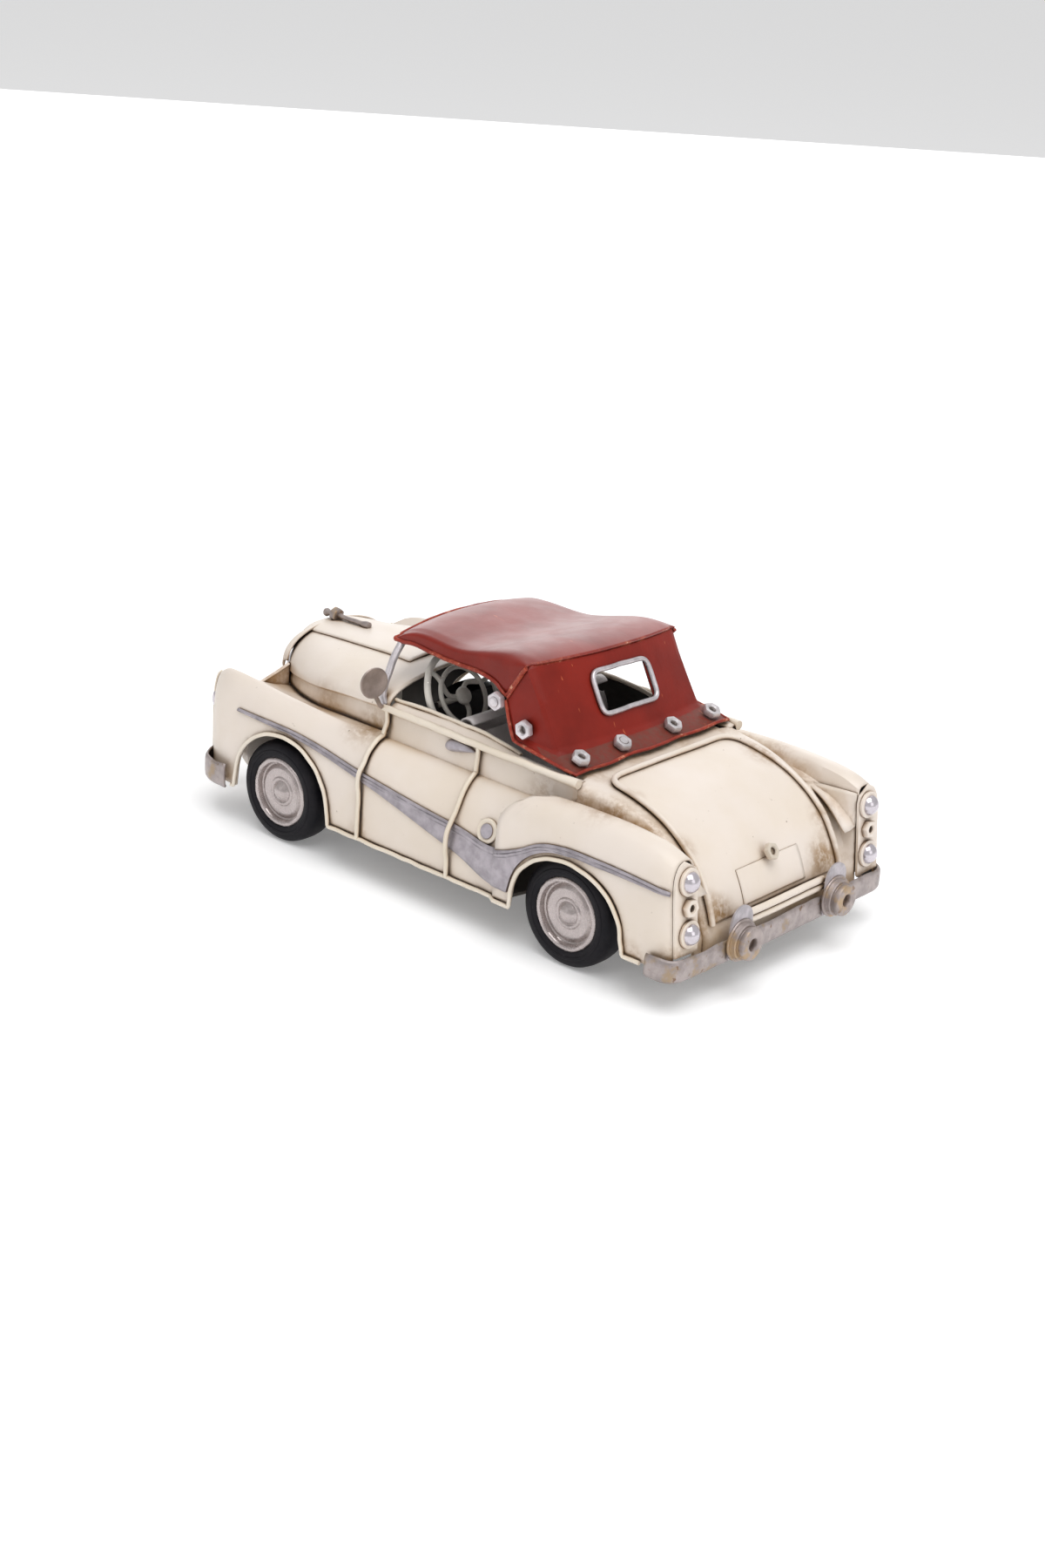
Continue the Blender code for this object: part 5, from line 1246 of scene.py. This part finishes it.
def make_overriders():
    for side, word in SIDES:
        bm = bmesh.new()
        at = (-79.7, side * GUARD_Y, 13)
        profile = [(0, 0), (5.0, 0), (5.1, 0.3), (5.0, 0.6), (4.5, 0.65), (4.42, 1.0), (4.4, 1.7),
                   (4.2, 1.95), (3.75, 2.0),
                   (3.7, 2.2), (3.85, 2.5), (3.95, 3.2), (3.8, 3.62), (3.45, 3.8), (2.2, 3.86), (1.6, 3.7),
                   (1.42, 3.4),
                   (1.4, 2.4), (0, 2.3)]
        turned(bm, profile, at, (-1, 0, 0), 44)
        solid_piece(f"overrider_{word}_fine", bm, CUP, [f"rear_overrider_{word}"])
        outline = [(3.9 * math.sin(a), 17.4 + 3.9 * math.cos(a))
                   for a in np.linspace(-math.pi / 2, math.pi / 2, 21)]
        bm = bmesh.new()
        plate(bm, [(-79.35, side * GUARD_Y + y, z) for y, z in outline + [(4.2, 9.2), (-4.2, 9.2)]], -0.5)
        solid_piece(f"overrider_tongue_{word}", bm, SILVER)


def make_tail_lamps():
    for side, word in SIDES:
        outline = [(30.6, 13.4), (30.6, 31.2), (31.2, 33.0)] + [(y, z) for y,
                                                                z in hip_flank(TAIL_X, 20)[2:-1]]
        outline += [(hip_width(TAIL_X), z) for z in np.linspace(26, 13.8, 8)]
        bm = bmesh.new()
        def tail_x(z):
            return TAIL_X - 0.15 + TAIL_LEAN * (z - 14)
        plate(bm, [hand((tail_x(z), y * side, z)) for y, z in outline], -0.6)
        for z in TAIL_LAMP_ZS:
            at = hand((tail_x(z) - 0.55, LAMP_Y * side, z))
            turned(bm, [(3.15, 0), (3.25, 0.2), (3.2, 0.75), (3.0, 0.9), (2.4, 0.92), (2.2, 0.6)], at,
                   (-1, 0, TAIL_LEAN), 40)
        at = hand((tail_x(TAIL_NUT_Z) - 0.55, LAMP_Y * side, TAIL_NUT_Z))
        nut(bm, at, (-1, 0, TAIL_LEAN), 3.9, 1.5, 0.95, 0.2)
        solid_piece(f"tail_plate_{word}", bm, CREAM_TAIL, [f"tail_lamp_panel_{word}"])
        bm = bmesh.new()
        for z in TAIL_LAMP_ZS:
            at = hand((tail_x(z) - 0.75, LAMP_Y * side, z))
            dome = [(2.5 * math.cos(a), 0.2 + 2.4 * math.sin(a))
                    for a in np.linspace(0, math.pi / 2, 14)[:-1]]
            turned(bm, [(2.5, -0.2)] + dome + [(0, 2.6)], at, (-1, 0, TAIL_LEAN), 40)
        solid_piece(f"tail_domes_{word}", bm, PEARL, [f"tail_lamp_panel_{word}"])


def make_headlamps():
    for side, word in SIDES:
        outline = [(25.6, 16.4), (32.6, 16.4)] + front_flank(78, 20)[::-1] + [(25.6, 32.2)]
        bm = bmesh.new()
        plate(bm, [hand((76.4, y * side, z)) for y, z in outline], 0.6)
        solid_piece(f"lamp_plate_{word}", bm, CREAM_TAIL, [f"headlamp_{word}"])
        profile = [(0, 0), (4.2, 0), (4.3, 0.4), (4.25, 1.2), (3.9, 1.75), (3.5, 1.7), (3.3, 1.3)]
        profile += [(3.2 * math.cos(a), 1.2 + 1.9 * math.sin(a))
                    for a in np.linspace(0.1, math.pi / 2, 12)[:-1]] + [(0, 3.1)]
        lathe(f"lamp_lens_{word}", profile, hand((76.9, 29.3 * side, 28.0)), (1, 0, 0), PEARL,
              nodes=[f"headlamp_{word}"])


def make_grille():
    def arch(half, rise, low):
        ring = [(half * math.cos(a), GRILLE_Z + rise * math.sin(a)) for a in np.linspace(0, math.pi, 40)]
        ring += [(-half, z) for z in (20, 19, low)] + [(y, low) for y in np.linspace(-half, half, 20)[1:-1]]
        ring += [(half, z) for z in (low, 19, 20)]
        return [(GRILLE_X - GRILLE_BOW * y * y - GRILLE_LEAN * max(z - GRILLE_Z, 0), y, z) for y, z in ring]
    runs = [(arch(13.5, 15.0, 18), 0.85, True), (arch(12.0, 13.4, 18.8), 0.4, True)]
    for k in range(-3, 4):
        y = 3.3 * k
        top = GRILLE_Z + 14.7 * math.sqrt(1 - (y / 13.5) ** 2)
        front = GRILLE_X - GRILLE_BOW * y * y
        bar = [(front, y, 18), (front, y, GRILLE_Z), (front - GRILLE_LEAN * (top - GRILLE_Z), y, top)]
        runs.append((resample(bar, 16), 0.55, False))
    wires("grille_fine", runs, BRIGHT, nodes=["grille"], drift=0.2)


def make_small_trim():
    for side, word in SIDES:
        bm = bmesh.new()
        rings = []
        for scale, lift in ((1, 0), (1.02, 0.25), (0.96, 0.55), (0.8, 0.85), (0.5, 1.1), (0.15, 1.25)):
            ring = []
            for a in np.linspace(0, 2 * math.pi, 36, endpoint=False):
                x = 4.6 * math.cos(a) * scale
                z = 1.15 * math.sin(a) * (1.2 + 0.55 * math.cos(a)) * scale - 0.25 * math.cos(2 * a)
                ring.append(bm.verts.new(hand((HANDLE_X + x, side * (BELT_Y + 0.1 + lift),
                                               HANDLE_Z + z - 0.12 * x)) * MM))
            rings.append(ring)
        for low, high in zip(rings, rings[1:]):
            for k in range(36):
                bm.faces.new((low[k], low[(k + 1) % 36], high[(k + 1) % 36], high[k]))
        bm.faces.new(rings[-1])
        bm.faces.new(rings[0][::-1])
        solid_piece(f"handle_{word}_fine", bm, SPEAR_PLAIN, [f"door_handle_{word}"], 50)
    at = hand((CAP_X, surface_y(CAP_X, CAP_Z) - 0.05, CAP_Z))
    lathe("cap_ring", [(0, 0), (2.9, 0), (3.0, 0.25), (2.9, 0.6), (2.5, 0.7), (2.0, 0.5), (0, 0.45)], at,
          (0, 0.95, 0.3), CREAM_BEAD,
          nodes=["fuel_cap"])
    lathe("cap_dome", [(1.8, 0.4), (1.75, 0.75), (1.3, 1.0), (0.7, 1.1), (0, 1.12)], at, (0, 0.95, 0.3),
          SPEAR_PLAIN, nodes=["fuel_cap"])
    face = Vector((-1, 0.22, 0.02)).normalized()
    centre = Vector((20.8, 34.6, 48.9))
    bm = bmesh.new()
    turned(bm, [(0, 0.55), (3.1, 0.5), (3.35, 0.62), (3.7, 0.6), (3.85, 0.35), (3.7, 0.0), (2.7, -0.5),
                (1.2, -0.8), (0, -0.85)],
           centre, face, 48)
    stem = spline([(20.9, 34.6, 47.2), (21.0, 33.8, 45.6), (21.3, 32.4, 43.8), (21.5, 31.2, 42.2),
                   (21.4, 30.2, 41.6)], 20)
    tube(bm, stem, 0.55, 10, False, 0.05)
    solid_piece("mirror_fine", bm, MIRROR, ["mirror"])
    line = [(x, 0, hood_lines(x)[2] + 0.95 + lift) for x,
            lift in ((56.6, 0.6), (60, 0.7), (64, 0.8), (68.6, 1.2), (72.6, 1.7))]
    bm = bmesh.new()
    def rod(share):
        return 0.62 + 0.35 * peak(share, 0.06, 0.09) + 0.5 * peak(share, 0.97, 0.05)
    tube(bm, spline(line, 40), rod, 12, False, 0.08)
    nut(bm, Vector(line[3]) - Vector((0.9, 0, 0.1)), (1, 0, 0.1), 3.3, 1.9, 0.5, 0.4)
    solid_piece("ornament_fine", bm, CUP, ["hood_ornament"], 35)
    side = [(22.3, 28.7, 41.8), (23.3, 28.6, 43.6), (23.7, 27.2, 47.0), (24.0, 24.9, 51.4),
            (24.0, 22.9, 54.2),
            (24.1, 21.2, 55.7)]
    rail = [(24.4 + 0.7 * (1 - (y / 20) ** 2), y, 56.1 + 1.6 * (1 - (y / 20) ** 2))
            for y in (18.5, 13, 7, 0)]
    half = side + rail
    wires("windscreen_fine", [(spline(half + flipped(half[-2::-1], -1), 150), 0.95, False)], BRIGHT,
          nodes=["windscreen_frame"], drift=0.13, shake=0.16, sides=12)


# ---------------------------------------------------------------- cabin

def make_steering():
    centre, tilt = Vector((11.4, 13.0, 43.4)), math.radians(30)
    axis = Vector((math.cos(tilt), 0, -math.sin(tilt)))
    up, left = Vector((math.sin(tilt), 0, math.cos(tilt))), Vector((0, 1, 0))
    def ring(radius, count):
        return [centre + up * radius * math.cos(a) + left * radius * math.sin(a)
                for a in np.linspace(0, 2 * math.pi, count + 1)[:-1]]
    runs = [(ring(11.4, 80), 0.85, True), (ring(7.2, 60), 0.6, True)]
    for k in range(3):
        a = 2 * math.pi * (8 * k + 3) / 24
        out = up * math.cos(a) + left * math.sin(a)
        bend = up * math.cos(a + 0.5) + left * math.sin(a + 0.5)
        runs.append((spline([centre + axis * 0.3, centre + bend * 4 + axis * 0.8,
                             centre + out * 8 + axis * 0.4, centre + out * 11.4], 24),
                     0.6, False))
    runs.append((resample([centre - axis * 0.9, centre + axis * 13.5], 12), 0.8, False))
    bm = bmesh.new()
    for points, radius, closed in runs:
        tube(bm, points, radius, 12, closed, 0.06 if closed else 0.0)
    turned(bm, [(0, 1.2), (1.4, 1.1), (2.1, 0.6), (2.3, 0), (2.1, -0.5), (0, -0.6)], centre, -axis, 30)
    solid_piece("wheel_wire", bm, GREY_WIRE, ["steering_wheel"], 50,
                body="steering_body")


def make_seat():
    curl = [(-0.6 + 1.9 * math.cos(a), 41.4 + 1.9 * math.sin(a)) for a in np.linspace(-2.2, 2.6, 30)]
    lower = spline([(x, 0, z) for x, z in [curl[0], (-3.2, 36.5), (-4.6, 30), (-5.2, 25), (-4.6, 22.6),
                                           (-2.6, 21.6), (3, 21.9), (8.2, 22.1),
                                           (9.5, 21.2), (9.7, 18), (9.6, 11.6)]], 60)
    profile = [(x, z) for x, z in curl[::-1]] + [(x, z) for x, _, z in lower[1:]]
    rows = [[(x, y, z) for x, z in profile] for y in np.linspace(-24.5, 24.5, 30)]
    sheet("seat_skin", rows, (4, 0, 30), SEAT, nodes=["front_seat"], drift=0.2, angle=60)


# ---------------------------------------------------------------- wheels

def make_wheels():
    for x, place in ((FRONT_X, "front"), (REAR_X, "rear")):
        for side, word in SIDES:
            body = f"{place}_wheelset"
            at = (x, side * TYRE_Y, AXLE_Z)
            tyre = [(8.75, -3.6), (9.3, -4.1), (10.4, -4.2), (11.5, -4.0), (12.35, -3.5), (12.8, -2.7),
                    (12.98, -1.4), (13.0, 0),
                    (12.98, 1.4), (12.8, 2.7), (12.35, 3.5), (11.5, 4.0), (10.9, 4.05), (10.7, 4.22),
                    (10.2, 4.25), (10.0, 4.05),
                    (9.3, 4.0), (8.9, 3.8), (8.75, 3.3), (8.75, -3.6)]
            lathe(f"rubber_{place}_{word}", tyre, at, (0, side, 0), RUBBER, body, [f"tyre_{place}_{word}"],
                  72)
            at = (x, side * DISC_Y, AXLE_Z)
            disc = [(0, 0.35), (0.7, 0.3), (1.5, 0.02), (2.1, -0.45), (2.5, -0.95), (2.75, -1.15),
                    (3.0, -1.0), (3.3, -0.92), (3.6, -1.05),
                    (3.8, -1.3), (5.6, -1.25), (5.9, -1.1), (6.2, -1.25), (6.5, -1.55), (7.0, -1.75),
                    (7.35, -1.55), (7.5, -0.9),
                    (7.65, -0.35), (8.0, -0.12), (8.4, -0.15), (8.75, -0.42), (8.85, -0.8), (8.6, -1.2),
                    (8.5, -7.2), (7.8, -7.2),
                    (7.6, -2.6), (3.0, -2.5), (3.0, -6.9), (1.8, -6.9), (1.8, -1.7), (0, -1.6)]
            bm = bmesh.new()
            turned(bm, disc, at, (0, side, 0), 72)
            for vert in bm.verts:
                local = vert.co / MM - Vector(at)
                if Vector((local.x, local.z)).length > 7.4 and abs(local.y) < 1.4:
                    vert.co += noise.noise_vector(Vector((local.x, local.z, x)) / 2.2) * 0.16 * MM
            solid_piece(f"disc_{place}_{word}", bm, WHEEL, [f"wheel_{place}_{word}"], 40, body=body)


for make in (
    make_front_fenders, make_body_sides, make_rear_fenders, make_hood, make_front_panel, make_deck,
    make_tail_fillers, make_boot, make_roof,
    make_curtain, make_window_frame, make_nuts, make_spears, make_beads, make_bumpers, make_overriders,
    make_tail_lamps,
    make_headlamps, make_grille, make_small_trim, make_steering, make_seat, make_wheels,
):
    make()
